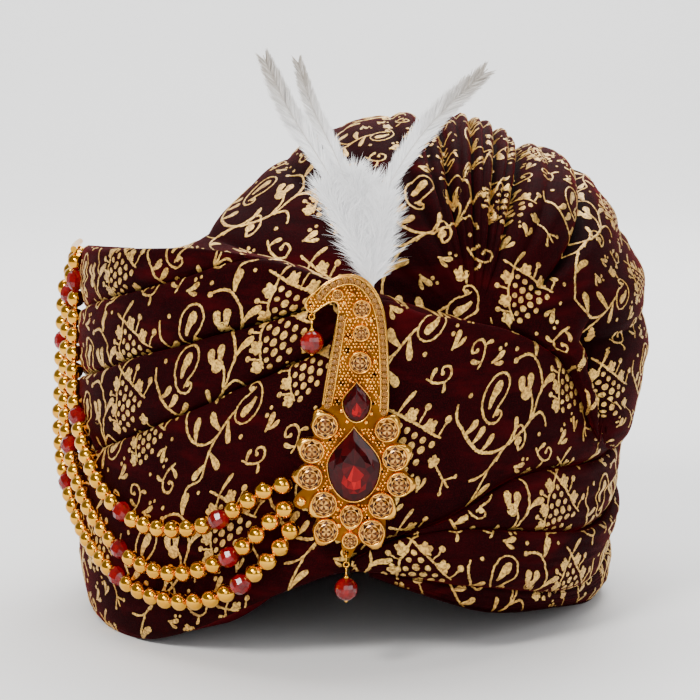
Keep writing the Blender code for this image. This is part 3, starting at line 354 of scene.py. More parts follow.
class Shade:
    """A number that a material works out, so that sums and products are written as such."""

    def __init__(self, tree, socket):
        self.tree = tree
        self.socket = socket

    def combine(self, operation, first, second):
        """One step of arithmetic between a socket and a socket or number."""
        step = self.tree.nodes.new("ShaderNodeMath")
        step.operation = operation
        for slot, value in zip(step.inputs, (first, second)):
            if isinstance(value, Shade):
                self.tree.links.new(value.socket, slot)
            else:
                slot.default_value = value
        return Shade(self.tree, step.outputs[0])

    def __add__(self, other):
        return self.combine("ADD", self, other)

    def __radd__(self, other):
        return self.combine("ADD", other, self)

    def __sub__(self, other):
        return self.combine("SUBTRACT", self, other)

    def __rsub__(self, other):
        return self.combine("SUBTRACT", other, self)

    def __mul__(self, other):
        return self.combine("MULTIPLY", self, other)

    def __rmul__(self, other):
        return self.combine("MULTIPLY", other, self)

    def __pow__(self, other):
        return self.combine("POWER", self, other)


class Finish:
    """A material with a Principled shader, to which nodes are added by kind."""

    def __init__(self, name, **constants):
        self.material = bpy.data.materials.new(name)
        self.material.use_nodes = True
        self.tree = self.material.node_tree
        self.shader = self.tree.nodes["Principled BSDF"]
        for label, value in constants.items():
            self.shader.inputs[label.replace("_", " ")].default_value = value
        self.place = self.node("ShaderNodeTexCoord", output="Object")

    def node(self, kind, settings=None, output=0, **sockets):
        """Add a node: its settings first, then the value or link of each socket, which is named by
        its label or by an underscore and its number."""
        item = self.tree.nodes.new(kind)
        for label, value in (settings or {}).items():
            setattr(item, label, value)
        for label, value in sockets.items():
            place = int(label[1:]) if label[1:].isdigit() else label.replace("_", " ")
            slot = item.inputs[place]
            if isinstance(value, Shade):
                self.tree.links.new(value.socket, slot)
            else:
                slot.default_value = value
        return Shade(self.tree, item.outputs[output])

    def noise(self, scale, detail=3.0, roughness=0.5, place=None):
        """Cloudy variation from 0 to 1 over the object's own coordinates."""
        return self.node("ShaderNodeTexNoise", None, "Fac", Vector=place or self.place, Scale=scale,
                         Detail=detail, Roughness=roughness)

    def attribute(self, name):
        """A number that the mesh carries."""
        return self.node("ShaderNodeAttribute", {"attribute_name": name}, "Fac")

    def blend(self, share, first, second):
        """A colour between two, by a share."""
        return self.node("ShaderNodeMix", {"data_type": "RGBA"}, 2, _0=share, _6=first, _7=second)

    def spread(self, value, low, high):
        """A value stretched so that low becomes 0 and high becomes 1."""
        return self.node("ShaderNodeMapRange", None, 0, Value=value, _1=low, _2=high)

    def use(self, label, value):
        """Link a value to the shader."""
        self.tree.links.new(value.socket, self.shader.inputs[label])

    def relief(self, height, distance, strength=1.0):
        """Bump from a height."""
        self.use("Normal", self.node("ShaderNodeBump", None, 0, Height=height, Distance=distance,
                                     Strength=strength))


def velvet_finish():
    """Cut pile: deep maroon, with cloudy redder patches that are partly random tone and partly
    painted sheen, painted sheen streaks, a fine grain, painted shade deep in the crown's creases
    and a soft sheen.
    """
    cloth = Finish("maroon velvet", Sheen_Weight=0.24, Sheen_Roughness=0.18,
                   Sheen_Tint=(0.80, 0.01, 0.03, 1.0), Specular_IOR_Level=0.03)
    # Cloudy redder patches: partly random tone, partly painted sheen where light would catch the pile.
    tone_and_sheen = cloth.spread(cloth.noise(38.0, 4.0, 0.6), 0.35, 0.72)
    pile = cloth.noise(2600.0, 2.0)
    weave = cloth.noise(700.0, 3.0)
    # Painted sheen: redder streaks stretched along the bands, as if light caught the pile.
    stretched = cloth.node("ShaderNodeVectorMath", {"operation": "MULTIPLY"}, 0, _0=cloth.place,
                           _1=(1.0, 1.0, 3.6))
    sheen_streak = cloth.spread(cloth.noise(26.0, 5.0, 0.6, stretched), 0.52, 0.74)
    flat = cloth.blend(tone_and_sheen, (0.004, 0.0001, 0.0004, 1.0), (0.013, 0.0003, 0.0008, 1.0))
    deep = cloth.blend(sheen_streak, flat, (0.042, 0.0006, 0.0016, 1.0))
    raised = cloth.blend(cloth.spread(pile, 0.45, 0.75), deep, (0.034, 0.0006, 0.0016, 1.0))
    # Painted shade: the velvet turns near black deep in the crown's creases, where shade falls.
    shaded = cloth.attribute("fold") * 0.85
    cloth.use("Base Color", cloth.blend(shaded, raised, (0.0012, 0.0, 0.0001, 1.0)))
    cloth.use("Roughness", 0.72 + weave * 0.2)
    cloth.relief(pile * 0.5 + weave * 0.5, 0.0005, 0.6)
    return cloth.material


def lining_finish():
    """Woven cotton on the head side."""
    cloth = Finish("maroon lining", Sheen_Weight=0.2)
    thread = cloth.node("ShaderNodeTexWave", {"bands_direction": "DIAGONAL"}, "Fac",
                        Vector=cloth.place, Scale=900.0, Distortion=1.5)
    tone = cloth.noise(60.0)
    cloth.use("Base Color", cloth.blend(tone, (0.03, 0.003, 0.006, 1.0), (0.07, 0.008, 0.012, 1.0)))
    cloth.use("Roughness", 0.8 + thread * 0.1)
    cloth.relief(thread, 0.0003, 0.5)
    return cloth.material


def foil_finish():
    """Pale gold foil that has taken the grain of the cloth and is rubbed in places."""
    foil = Finish("gold foil print", Specular_IOR_Level=0.6)
    grain = foil.noise(820.0, 3.0, 0.65)
    rub = foil.spread(foil.noise(55.0, 3.0), 0.30, 0.70)
    bright = foil.blend(rub, (0.80, 0.44, 0.065, 1.0), (0.98, 0.64, 0.155, 1.0))
    foil.use("Base Color", foil.blend(foil.spread(grain, 0.38, 0.60), (0.27, 0.125, 0.022, 1.0), bright))
    foil.use("Metallic", 0.35 + rub * 0.3)
    foil.use("Roughness", 0.30 + grain * 0.3)
    foil.relief(grain, 0.0004, 0.8)
    return foil.material


def gold_finish(name, low, high, roughness, relief):
    """Plated metal with soft wear and fine rubbing marks."""
    metal = Finish(name, Metallic=1.0)
    wear = metal.spread(metal.noise(90.0, 4.0), 0.3, 0.7)
    marks = metal.noise(1200.0, 2.0)
    metal.use("Base Color", metal.blend(wear, low, high))
    metal.use("Roughness", roughness + marks * 0.12)
    metal.relief(marks, relief)
    return metal.material


def gem_finish(name, dark, middle, bright, roughness=0.04):
    """Cut glass on foil: each facet's colour is a painted reflection, from dark to bright, as the cut
    throws light back.
    """
    gem = Finish(name, Specular_IOR_Level=0.18)
    # Painted reflections: each facet's brightness picks its colour and a little metal.
    facet = gem.attribute("facet")
    lower = gem.blend(gem.spread(facet, 0.0, 0.5), dark, middle)
    gem.use("Base Color", gem.blend(gem.spread(facet, 0.5, 1.0), lower, bright))
    gem.use("Roughness", roughness + gem.noise(400.0) * 0.05)
    gem.use("Metallic", gem.spread(facet, 0.2, 1.0) * 0.15)
    return gem.material


def glass_bead_finish():
    """Red moulded glass, clear enough to glow, with faint swirls."""
    glass = Finish("red glass bead", Transmission_Weight=0.25, IOR=1.45, Specular_IOR_Level=0.4,
                   Coat_Weight=0.12, Coat_Roughness=0.03)
    swirl = glass.spread(glass.noise(260.0, 4.0), 0.3, 0.7)
    glass.use("Base Color", glass.blend(swirl, (0.11, 0.0002, 0.0006, 1.0), (0.34, 0.0006, 0.0016, 1.0)))
    glass.use("Roughness", 0.06 + swirl * 0.08)
    return glass.material


def down_finish():
    """White down, warmer towards the feather tips, with a faint painted glow as if light shone through
    it.
    """
    down = Finish("white down", Sheen_Weight=0.4, Sheen_Roughness=0.5, Specular_IOR_Level=0.3,
                  Emission_Strength=0.10)
    tip = down.attribute("tip")
    tone = down.noise(300.0)
    white = down.blend(tone, (0.90, 0.90, 0.92, 1.0), (0.98, 0.98, 0.98, 1.0))
    down.use("Base Color", down.blend(tip, white, (0.36, 0.31, 0.25, 1.0)))
    # Painted glow: the down gives off faint white light, none at the warm tips.
    down.use("Emission Color", down.blend(tip, (1.0, 1.0, 1.0, 1.0), (0.12, 0.10, 0.08, 1.0)))
    down.use("Roughness", 0.75 + tone * 0.2)
    return down.material


def column(table, index):
    """One column of a table as an array."""
    return np.array([row[index] for row in table], dtype=float)


def read(table, places):
    """The second column of a table at places in its first, along straight lines."""
    return np.interp(places, column(table, 0), column(table, 1))


def read_smooth(table, index, places, spread=3.0):
    """A column at given places, as the mean of straight-line readings either side of each."""
    offsets = np.linspace(-spread, spread, 7)
    return np.mean([np.interp(places + o, column(table, 0), column(table, index)) for o in offsets], 0)


def ring_point(wind, height, outward, proud):
    """A point of the ring wall: ellipse at a wind angle, outward from 0 at the head to 1 at the
    outer side, then proud of it by a length."""
    turn = np.radians(wind)
    form = read(FORM, np.asarray(height) / WRAP_HEIGHT)
    half_x = HEAD_HALF_WIDTH + outward * (RING_HALF_WIDTH * form - HEAD_HALF_WIDTH) + proud
    half_y = HEAD_HALF_DEPTH + outward * (RING_HALF_DEPTH * form - HEAD_HALF_DEPTH) + proud
    x = -half_x * np.sin(turn)
    y = -half_y * np.cos(turn)
    return np.stack(np.broadcast_arrays(x, y, height), -1)


def fill_mesh(name, points, faces, finish, smooth=True):
    """A mesh from an array of points and arrays of three-sided or four-sided faces."""
    mesh = bpy.data.meshes.new(name)
    sizes = np.concatenate([np.full(len(group), group.shape[1]) for group in faces])
    corners = np.concatenate([group.ravel() for group in faces])
    mesh.vertices.add(len(points))
    mesh.vertices.foreach_set("co", (points + BASE).astype(np.float32).ravel())
    mesh.loops.add(len(corners))
    mesh.loops.foreach_set("vertex_index", corners.astype(np.int32))
    mesh.polygons.add(len(sizes))
    starts = np.concatenate([[0], np.cumsum(sizes)[:-1]])
    mesh.polygons.foreach_set("loop_start", starts.astype(np.int32))
    mesh.update(calc_edges=True)
    mesh.validate()
    if smooth:
        mesh.shade_smooth()
    else:
        mesh.shade_flat()
    for material in finish if isinstance(finish, tuple) else (finish,):
        mesh.materials.append(material)
    piece = bpy.data.objects.new(name, mesh)
    bpy.context.scene.collection.objects.link(piece)
    return piece


def carry(piece, slot, *nodes):
    """The piece rides on the turban and stands for its solids, which are hidden. Its slot is not used."""
    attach(piece, "root")
    if nodes:
        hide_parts(*nodes)
    return piece


def mark(piece, name, values, domain="POINT"):
    """Give the mesh a number per point or per face."""
    layer = piece.data.attributes.new(name, "FLOAT", domain)
    layer.data.foreach_set("value", np.asarray(values, dtype=np.float32))


def grid_faces(rows, columns, close=False, loop=False):
    """Four-sided faces of a grid, closed across its columns, and looped from its last row to its
    first, where asked."""
    row, step = np.meshgrid(np.arange(rows if loop else rows - 1),
                            np.arange(columns if close else columns - 1), indexing="ij")
    here, ahead = row * columns, (row + 1) % rows * columns
    beside = (step + 1) % columns
    return np.stack([here + step, here + beside, ahead + beside, ahead + step], -1).reshape(-1, 4)


def capped_tube(points, poles=None):
    """Points and faces of a grid of closed sections, with a fan over each end to a pole, which is
    the middle of the end section unless it is given."""
    rows, sides = points.shape[:2]
    if poles is None:
        poles = points[[0, -1]].mean(axis=1)
    edge = np.arange(sides)
    after = (edge + 1) % sides
    last = (rows - 1) * sides
    start_cap = np.stack([np.full(sides, rows * sides), after, edge], -1)
    end_cap = np.stack([np.full(sides, rows * sides + 1), last + edge, last + after], -1)
    return (np.concatenate([points.reshape(-1, 3), poles]),
            [grid_faces(rows, sides, True), np.concatenate([start_cap, end_cap])])


def unit_normals(points, outward):
    """Unit normals of a grid of points, turned to the side that outward says."""
    normal = np.cross(np.gradient(points, axis=0), np.gradient(points, axis=1))
    normal /= np.linalg.norm(normal, axis=-1, keepdims=True) + 1e-12
    return normal * outward


def outward_side(points):
    """1 if the normals of a domed grid point away from its middle, or -1."""
    middle = points.mean(axis=(0, 1))
    return np.sign(((points - middle) * unit_normals(points, 1.0)).sum(-1).mean())


class Cloth:
    """The printed face of a piece of cloth: a grid of points, read by the distance along and
    across it, or on the crown by the distance and direction from the gather."""

    def __init__(self, points, outward, angles=None, starts=None):
        rows, columns = points.shape[:2]
        legs = np.linalg.norm(np.diff(points, axis=1), axis=-1)
        run = np.concatenate([np.zeros((rows, 1)), np.cumsum(legs, axis=1)], axis=1)
        self.width = run[:, -1]
        self.reading = 0.0005
        places = np.arange(0, self.width.max() + self.reading, self.reading)
        normals = unit_normals(points, outward)
        even = []
        for row in range(rows):
            spot = np.interp(places, run[row], np.arange(columns))
            low = np.minimum(spot.astype(int), columns - 2)
            share = (spot - low)[:, None]
            both = np.concatenate([points[row], normals[row]], axis=1)
            even.append(both[low] * (1 - share) + both[low + 1] * share)
        self.even = np.array(even)
        self.angles = angles
        self.starts = starts
        middle = points[:, columns // 2]
        self.along = np.concatenate([[0], np.cumsum(np.linalg.norm(np.diff(middle, axis=0), axis=-1))])

    def read(self, flat):
        """Points and normals at flat places, and whether each lies on the cloth."""
        if self.angles is None:
            row = np.interp(flat[:, 0], self.along, np.arange(len(self.along)))
            across = flat[:, 1]
            on = (flat[:, 0] > self.along[0]) & (flat[:, 0] < self.along[-1])
        else:
            turn = np.degrees(np.arctan2(flat[:, 1], flat[:, 0]))
            turn = np.where(turn < -90, turn + 360, turn)
            row = np.interp(turn, self.angles, np.arange(len(self.angles)))
            across = np.hypot(flat[:, 0], flat[:, 1]) - np.interp(turn, self.angles, self.starts)
            on = (turn > self.angles[0]) & (turn < self.angles[-1])
        width = np.interp(row, np.arange(len(self.width)), self.width)
        on &= (across > 0) & (across < width)
        low = np.clip(row.astype(int), 0, len(self.even) - 2)
        step = np.clip(across / self.reading, 0, self.even.shape[1] - 1.001)
        left = step.astype(int)
        share_row = (row - low)[:, None]
        share_step = (step - left)[:, None]
        near = self.even[low, left] * (1 - share_step) + self.even[low, left + 1] * share_step
        far = self.even[low + 1, left] * (1 - share_step) + self.even[low + 1, left + 1] * share_step
        both = near * (1 - share_row) + far * share_row
        return both[:, :3], both[:, 3:], on


def spline(points, spacing):
    """Points at an even spacing on the Catmull-Rom curve through the given ones."""
    ends = np.array([points[0], *points, points[-1]], dtype=float)
    steps = np.linspace(0, 1, 9, endpoint=False)[:, None]
    parts = []
    for before, here, after, beyond in zip(ends, ends[1:], ends[2:], ends[3:]):
        parts.append(0.5 * (2 * here + (after - before) * steps
                            + (2 * before - 5 * here + 4 * after - beyond) * steps ** 2
                            + (3 * here - before - 3 * after + beyond) * steps ** 3))
    line = np.concatenate([*parts, ends[-1:]])
    run = np.concatenate([[0], np.cumsum(np.linalg.norm(np.diff(line, axis=0), axis=1))])
    count = max(3, int(round(run[-1] / spacing)) + 1)
    places = np.linspace(0, run[-1], count)
    return np.stack([np.interp(places, run, line[:, axis]) for axis in range(line.shape[1])], -1)


def ribbon(line, widths):
    """A domed ribbon: left edge, raised middle and right edge along a flat line."""
    along = np.gradient(line, axis=0)
    along /= np.linalg.norm(along, axis=1, keepdims=True) + 1e-12
    aside = np.stack([-along[:, 1], along[:, 0]], -1) * widths[:, None] / 2
    flat = np.stack([line + aside, line, line - aside], 1).reshape(-1, 2)
    lift = np.tile([0.15, 1.0, 0.15], len(line))
    return flat, lift, grid_faces(len(line), 3)[:, ::-1]


def join_marks(marks):
    """Flat points, lifts and faces of several marks as one."""
    flats, lifts, faces = zip(*marks)
    firsts = np.cumsum([0, *map(len, flats)])
    return (np.concatenate(flats), np.concatenate(lifts),
            np.concatenate([face + first for face, first in zip(faces, firsts)]))


def clover_leaves(root, tip):
    """Four leaves that leave one root, spread about the way to the tip."""
    up = (tip - root) / np.linalg.norm(tip - root)
    side = np.array([up[1], -up[0]])
    leaves = []
    for across, rise, wide in CLOVER:
        end = root + side * across / 1000 + up * rise / 1000
        line = spline([root, (root + end) / 2, end], STROKE_STEP * 1.2)
        share = np.linspace(0, 1, len(line))
        leaves.append(ribbon(line, wide / 1000 * np.sin(np.pi * (0.15 + 0.75 * share)) ** 0.7))
    return leaves


def mark_shapes(motif, seed):
    """The ribbons of one motif in metres: a line wavers a little in place and width, a drop
    swells towards its end, and a dot swells in its middle."""
    chance = np.random.default_rng(seed)
    shapes = []
    for kind, width, *points in motif:
        path = np.array(points) / 1000
        stroke = width * 0.86 / 1000
        if kind == "clover":
            shapes += clover_leaves(*path)
        elif kind == "dot":
            radius = width / 2000
            places = np.cos(np.linspace(np.pi, 0, 6))
            turn = chance.uniform(0, np.pi)
            line = path[0] + np.outer(places, [np.cos(turn), np.sin(turn)]) * radius
            widths = 2 * radius * np.sqrt(1.06 - places ** 2) * chance.uniform(0.9, 1.1, 6)
            shapes.append(ribbon(line, widths))
        elif kind == "drop":
            line = spline(path, STROKE_STEP)
            share = np.linspace(0, 1, len(line))
            form = np.interp(share, (0, 0.25, 0.7, 0.9, 1.0), (0.28, 0.55, 1.0, 0.86, 0.35))
            shapes.append(ribbon(line, stroke * form * chance.uniform(0.93, 1.07, len(line))))
        else:
            line = spline(path, STROKE_STEP)
            waver = chance.uniform(-1, 1, line.shape) * 0.00016
            widths = stroke * chance.uniform(0.66, 1.16, len(line))
            widths[[0, -1]] *= 0.6
            shapes.append(ribbon(line + waver, widths))
    return join_marks(shapes)


def find_room(taken, chance):
    """Places for small motifs in the bare ground of the repeat: tried at random, kept where no
    mark of the repeat or of its neighbours lies within the motif's radius."""
    wide, tall = REPEAT
    steps = [(x * wide + y * STAGGER * wide, y * tall) for x in (-2, -1, 0, 1) for y in (-1, 0, 1)]
    placed = []
    ground = np.concatenate([taken + step for step in steps])
    for motif, radius, tries in FILLERS:
        for spot in chance.uniform((0, 0), REPEAT, (tries, 2)):
            if np.hypot(*(ground - spot).T).min() > radius + PRINT_ROOM:
                placed.append((motif, *spot, chance.uniform(0, 360), chance.uniform(0.85, 1.1)))
                ring = np.vstack([spot + round_outline(12) * radius * 0.8, spot])
                ground = np.concatenate([ground, *(ring + step for step in steps)])
    return placed


def place_motif(seed, motif, across, up, turn, size):
    """A motif turned, sized and set in its place in the repeat."""
    flat, lift, faces = mark_shapes(motif, seed)
    cosine, sine = math.cos(math.radians(turn)), math.sin(math.radians(turn))
    turned = flat @ np.array([[cosine, sine], [-sine, cosine]]) * size
    return turned + np.array([across, up]) / 1000, lift, faces


def print_repeat():
    """One repeat of the print as flat points, lifts and faces."""
    marks = [place_motif(seed, *row) for seed, row in enumerate(REPEAT_MOTIFS)]
    fillers = find_room(join_marks(marks)[0] * 1000, np.random.default_rng(5))
    marks += [place_motif(seed, *row) for seed, row in enumerate(fillers, len(marks))]
    return join_marks(marks)


def print_cloth(name, cloth, extent, offset, mirror=False):
    """Foil marks laid over a cloth: the repeat is set out in staggered rows, each mark follows the
    surface a little proud of it, and what falls off the cloth is left away."""
    flat, lift, faces = PRINT
    wide, tall = REPEAT[0] / 1000, REPEAT[1] / 1000
    (left, right), (low, high) = extent
    sheets = []
    for row in range(math.floor((low - offset[1]) / tall), math.ceil((high - offset[1]) / tall)):
        stagger = offset[0] + row * STAGGER * wide % wide
        first = math.floor((left - stagger) / wide) - 1
        for step in range(first, math.ceil((right - stagger) / wide) + 1):
            corner = np.array([stagger + step * wide, offset[1] + row * tall])
            sheets.append((flat + corner, lift, faces))
    places, lifts, face = join_marks(sheets)
    if mirror:
        places[:, 0] = left + right - places[:, 0]
    points, normals, on = cloth.read(places)
    points = points + normals * (lifts * PRINT_LIFT)[:, None]
    face = face[on[face].all(axis=1)]
    used, renumbered = np.unique(face, return_inverse=True)
    face = renumbered.reshape(face.shape)
    corner = points[used][face[:, :3]]
    facing = np.cross(corner[:, 1] - corner[:, 0], corner[:, 2] - corner[:, 0])
    inside_out = (facing * normals[used][face[:, 0]]).sum(-1) < 0
    face[inside_out] = face[inside_out][:, ::-1]
    carry(fill_mesh(name, points[used], [face], FOIL), "velvet")


def rim_share(winds):
    """Height share of the ring's lower edge at wind angles."""
    winding = np.mod(winds + 78, 360) - 78
    right = read_smooth(SEAMS, 4, winding + 360)
    left = np.where(winding > 165, 0.0, read_smooth(FRONT_RIM, 1, winding))
    return np.where(winding > 0, left, right)


def wrinkles(along, share, seed):
    """Soft creases along a band: sines of the share across, bent by slow sines of the way along."""
    chance = np.random.default_rng(seed)
    total = np.zeros(np.broadcast_shapes(along.shape, share.shape))
    for count in (1.6, 2.7, 4.1, 6.3):
        phase = chance.uniform(0, 2 * np.pi, 4)
        bend = 1.4 * np.sin(along * 14 + phase[0]) + 0.9 * np.sin(along * 37 + phase[1])
        fade = 0.6 + 0.4 * np.sin(along * 23 + phase[2])
        total = total + fade * np.sin(2 * np.pi * count * share + bend + phase[3]) / count ** 0.5
    return total * np.clip(4 * share * (1 - share), 0, 1)


def band_grid(winds, upper, lower, tuck, swollen, seed):
    """Closed sections of a wound band. From the head the lower seam runs outwards and up, the outer
    side leaves it tucked in, swells, and ends in a rolled lip, and the upper seam runs back."""
    high = (upper * WRAP_HEIGHT - SEAM_GAP / 2)[:, None]
    rim = rim_share(winds)
    on_rim = (lower <= rim + 0.004)[:, None]
    low = (lower * WRAP_HEIGHT)[:, None] + np.where(on_rim, 0.0, SEAM_GAP / 2)
    rim = (rim * WRAP_HEIGHT)[:, None]
    tall = high - low
    full = np.clip(tall / 0.020, 0, 1)
    share = np.linspace(0, 1, BAND_STEPS)[None, :]
    along = np.radians(winds)[:, None] * BAND_RADIUS
    tucked = np.where(on_rim, 0.0016, 0.0032) * np.exp(-share * tall / 0.0026)
    swell = WRAP_BULGE * np.sin(np.pi * share * 0.62) ** 0.6
    proud = full * (swell - tucked + WRINKLE * wrinkles(along, share, seed))
    proud += swollen[:, None] * (1 - share) ** 0.6 - tuck[:, None] * ROLL_TUCK
    heights = low + share * (tall - LIP_RADIUS * full)
    turn = np.radians(np.linspace(18, 170, 9))[None, :]
    lip_out = proud[:, -1:] - LIP_RADIUS * full * (1 - np.cos(turn))
    lip_up = heights[:, -1:] + LIP_RADIUS * full * np.sin(turn) * 1.25
    inward = np.linspace(0.88, 0, SEAM_STEPS)[None, :]
    drop_high, drop_low = [SEAM_DROP * np.clip((edge - rim) / (2 * SEAM_DROP), 0, 1)
                           for edge in (high, low)]
    seam_high = high - 0.0006 - drop_high * (1 - inward)
    seam_low = (low - drop_low * (1 - inward))[:, ::-1]
    outer = ring_point(winds[:, None], heights, 1.0, proud)
    lip = ring_point(winds[:, None], lip_up, 1.0, lip_out)
    back = ring_point(winds[:, None], seam_high, inward, 0.0)
    front = ring_point(winds[:, None], seam_low, inward[:, ::-1], 0.0)
    return np.concatenate([outer, lip, back, front], axis=1)


def make_band(name, start, end, upper, lower, tuck, seed, offset):
    """One wound band, lined on its head wall, and the print on its outer side and half its lip."""
    winds = np.arange(start, end + 0.01, WIND_STEP)
    middle, amount = SIDE_SWELL[name]
    swollen = amount * np.exp(-((winds - middle) / SWELL_REACH) ** 2)
    points = band_grid(winds, upper(winds), lower(winds), tuck(winds), swollen, seed)
    rows, columns = points.shape[:2]
    face_points, faces = capped_tube(points)
    piece = fill_mesh(name + "_cloth", face_points, faces, (VELVET, LINING))
    face = np.arange(len(piece.data.polygons))
    head_wall = (face % columns == columns - SEAM_STEPS - 1) & (face < (rows - 1) * columns)
    piece.data.polygons.foreach_set("material_index", head_wall.astype(np.int32))
    carry(piece, "velvet", name)
    cloth = Cloth(points[:, :BAND_STEPS + 5], -1.0)
    extent = ((0, cloth.along[-1]), (0, cloth.width.max()))
    print_cloth(name + "_print", cloth, extent, offset, mirror=True)


def make_bands():
    """The three wound bands and the front band."""
    def seam(index):
        return lambda winds: read_smooth(SEAMS, index, winds)

    def untucked(winds):
        return np.zeros(len(winds))

    def front_top(winds):
        return np.where(winds < -4, read_smooth(FRONT_EDGE, 1, winds), read_smooth(SEAMS, 4, winds))

    def front_foot(winds):
        over = read_smooth(SEAMS, 1, winds + 360)
        return np.where(winds > 0, read_smooth(FRONT_RIM, 1, winds), over)

    make_band("wrap_upper", 22, 348, seam(1), seam(2), untucked, 1, (0.010, -0.012))
    make_band("wrap_middle", -4, 360, seam(2), seam(3), untucked, 2, (0.050, -0.020))
    make_band("wrap_lower", -4, 356, seam(3), seam(4), seam(5), 3, (0.030, -0.008))
    make_band("wrap_front", -78, 165, front_top, front_foot, untucked, 4, (0.009, 0.014))


def ring_top(winds):
    """Height of the ring's top edge."""
    winding = np.mod(winds + 78, 360) - 78
    front = read_smooth(FRONT_EDGE, 1, winding, 1.0)
    wound = read_smooth(SEAMS, 1, np.where(winding < -4, winding + 360, winding), 1.0)
    return np.where(winding < -4, front, wound) * WRAP_HEIGHT


def crown_guide(angles):
    """Crown surface before its creases: for each direction a quarter ellipse from the gather up to
    the outline, then one back and down to its seat, which falls faster towards the left end. Also
    how far each point lies from the gather as seen from the front, and where each direction starts."""
    start, reach, depth, back_wind, back_out = [read_smooth(PLEATS, i, angles) for i in range(1, 6)]
    back_out = np.maximum(back_out, read(LEAST_SEAT, angles))
    seat = ring_point(back_wind, ring_top(back_wind) - SEAM_DROP * (1 - back_out), back_out, 0.0)[:, None]
    gather = ring_point(GATHER_WIND, ring_top(np.array([GATHER_WIND]))[0], 0.72, 0.0)
    turn = np.radians(angles)[:, None]
    depth = depth[:, None] * RING_HALF_DEPTH
    outline = FAN_REACH * reach[:, None]
    first = np.arcsin(np.clip(start / reach, 0, 1))[:, None]
    sweep = first + (np.pi / 2 - first) * np.linspace(0, 1, CREST_STEPS)
    along = outline * np.sin(sweep)
    front = gather + np.stack([along * np.cos(turn), (depth - gather[1]) * (1 - np.cos(sweep)),
                               along * np.sin(turn)], -1)
    crest = gather + np.stack([outline * np.cos(turn), depth - gather[1], outline * np.sin(turn)], -1)
    fall = np.linspace(0, np.pi / 2, FALL_STEPS + 1)[1:]
    steep = np.interp(angles, (125, 150), (0, 1))[:, None]
    drop = 1 - np.cos(fall)
    across, up = drop ** (1 + 2.0 * steep), drop ** (1 - 0.50 * steep)
    shares = np.stack([across, np.broadcast_to(np.sin(fall), up.shape), up], -1)
    back = crest + (seat - crest) * shares
    radius = np.concatenate([along, np.repeat(along[:, -1:], FALL_STEPS, axis=1)], axis=1)
    return np.concatenate([front, back], axis=1), radius, np.hypot(*(front[:, 0, ::2] - gather[::2]).T)


def crown_grid():
    """Crown surface with its swelling and creases, which fall away as the exponential of the
    distance to them. Also how deep each point lies in a crease, from 0 to 1, for painted shade."""
    angles = np.arange(-48, 164.01, 0.8)
    points, radius, starts = crown_guide(angles)
    turn = np.radians(angles)[:, None]
    steps = np.arange(points.shape[1])
    swell = np.interp(steps / steps[-1], (0, 0.05, 0.2, 0.62, 0.93, 1), (0, 0.5, 1, 1, 0.35, 0))
    ahead = np.clip(steps / (CREST_STEPS - 1), 0, 1)
    lift = CLOTH_THICKNESS + read(CROWN_SWELL, angles)[:, None] * np.ones(radius.shape)
    spread = np.clip(radius / 0.050, 0.25, 1)
    narrow = np.clip(radius / 0.075, 0.3, 1)
    for near, far, deep, wide in CREASES:
        apart = np.abs(turn - np.radians(near + (far - near) * ahead)) * radius
        lift -= spread * deep / 1000 * np.exp(-apart / (wide / 1000 * narrow))
    roll = read(INNER_ROLL, angles)[:, None]
    valley = read(INNER_VALLEY, angles)[:, None]
    lift += roll * 0.0040 * np.exp(-((radius - valley + 0.0095) / 0.0065) ** 2)
    lift -= roll * 0.0080 * np.exp(-np.abs(radius - valley) / 0.0030)
    chance = np.random.default_rng(7)
    for count in (9.0, 17.0, 31.0):
        bend = chance.uniform(0, 2 * np.pi, 3)
        wave = np.sin(count * turn + 2 * np.sin(radius * 45 + bend[0]) + bend[1])
        lift += 0.0012 / count ** 0.4 * wave
    # Painted shade: how deep each point lies in a crease, which darkens the velvet there.
    crease_shade = np.clip(-(lift - 0.0010) / 0.0060, 0, 1) * swell
    normals = unit_normals(points, outward_side(points))
    return angles, points + normals * (lift * swell)[..., None], starts, crease_shade


def hem(edge, outward, steps):
    """Cloth from an edge of the crown down to the ring's top face at the edge's own wind angles,
    bulging over the straight line by a sine where there is room."""
    wind = np.degrees(np.arctan2(-edge[:, 0] / RING_HALF_WIDTH, -edge[:, 1] / RING_HALF_DEPTH))
    foot = ring_point(wind, ring_top(wind) - SEAM_DROP * (1 - outward) + 0.0006, outward, 0.0)
    share = np.linspace(0, 1, steps + 1)[1:, None, None]
    rows = edge[None] * (1 - share) + foot[None] * share
    gap = np.linalg.norm(edge - foot, axis=-1)
    rows[..., 2] += 0.001 * np.clip(gap / 0.015 - 0.3, 0, 1) * np.sin(np.pi * share[..., 0])
    return rows


def rest_on_ring(points):
    """Lift points of the crown that would sink into the ring's top face."""
    x, y, z = points[..., 0], points[..., 1], points[..., 2]
    wind = np.degrees(np.arctan2(-x / RING_HALF_WIDTH, -y / RING_HALF_DEPTH))
    past_head = np.hypot(x / HEAD_HALF_WIDTH, y / HEAD_HALF_DEPTH) - 1
    short_of_side = 1 - np.hypot(x / RING_HALF_WIDTH, y / RING_HALF_DEPTH)
    share = past_head / (past_head + short_of_side)
    top = ring_top(wind.ravel()).reshape(wind.shape)
    seat = top - SEAM_DROP * (1 - np.clip(share, 0, 1)) + CROWN_REST
    on_wall = (share > -0.12) & (share < 1.1)
    points[..., 2] = np.where(on_wall, np.maximum(z, seat), z)
    return points


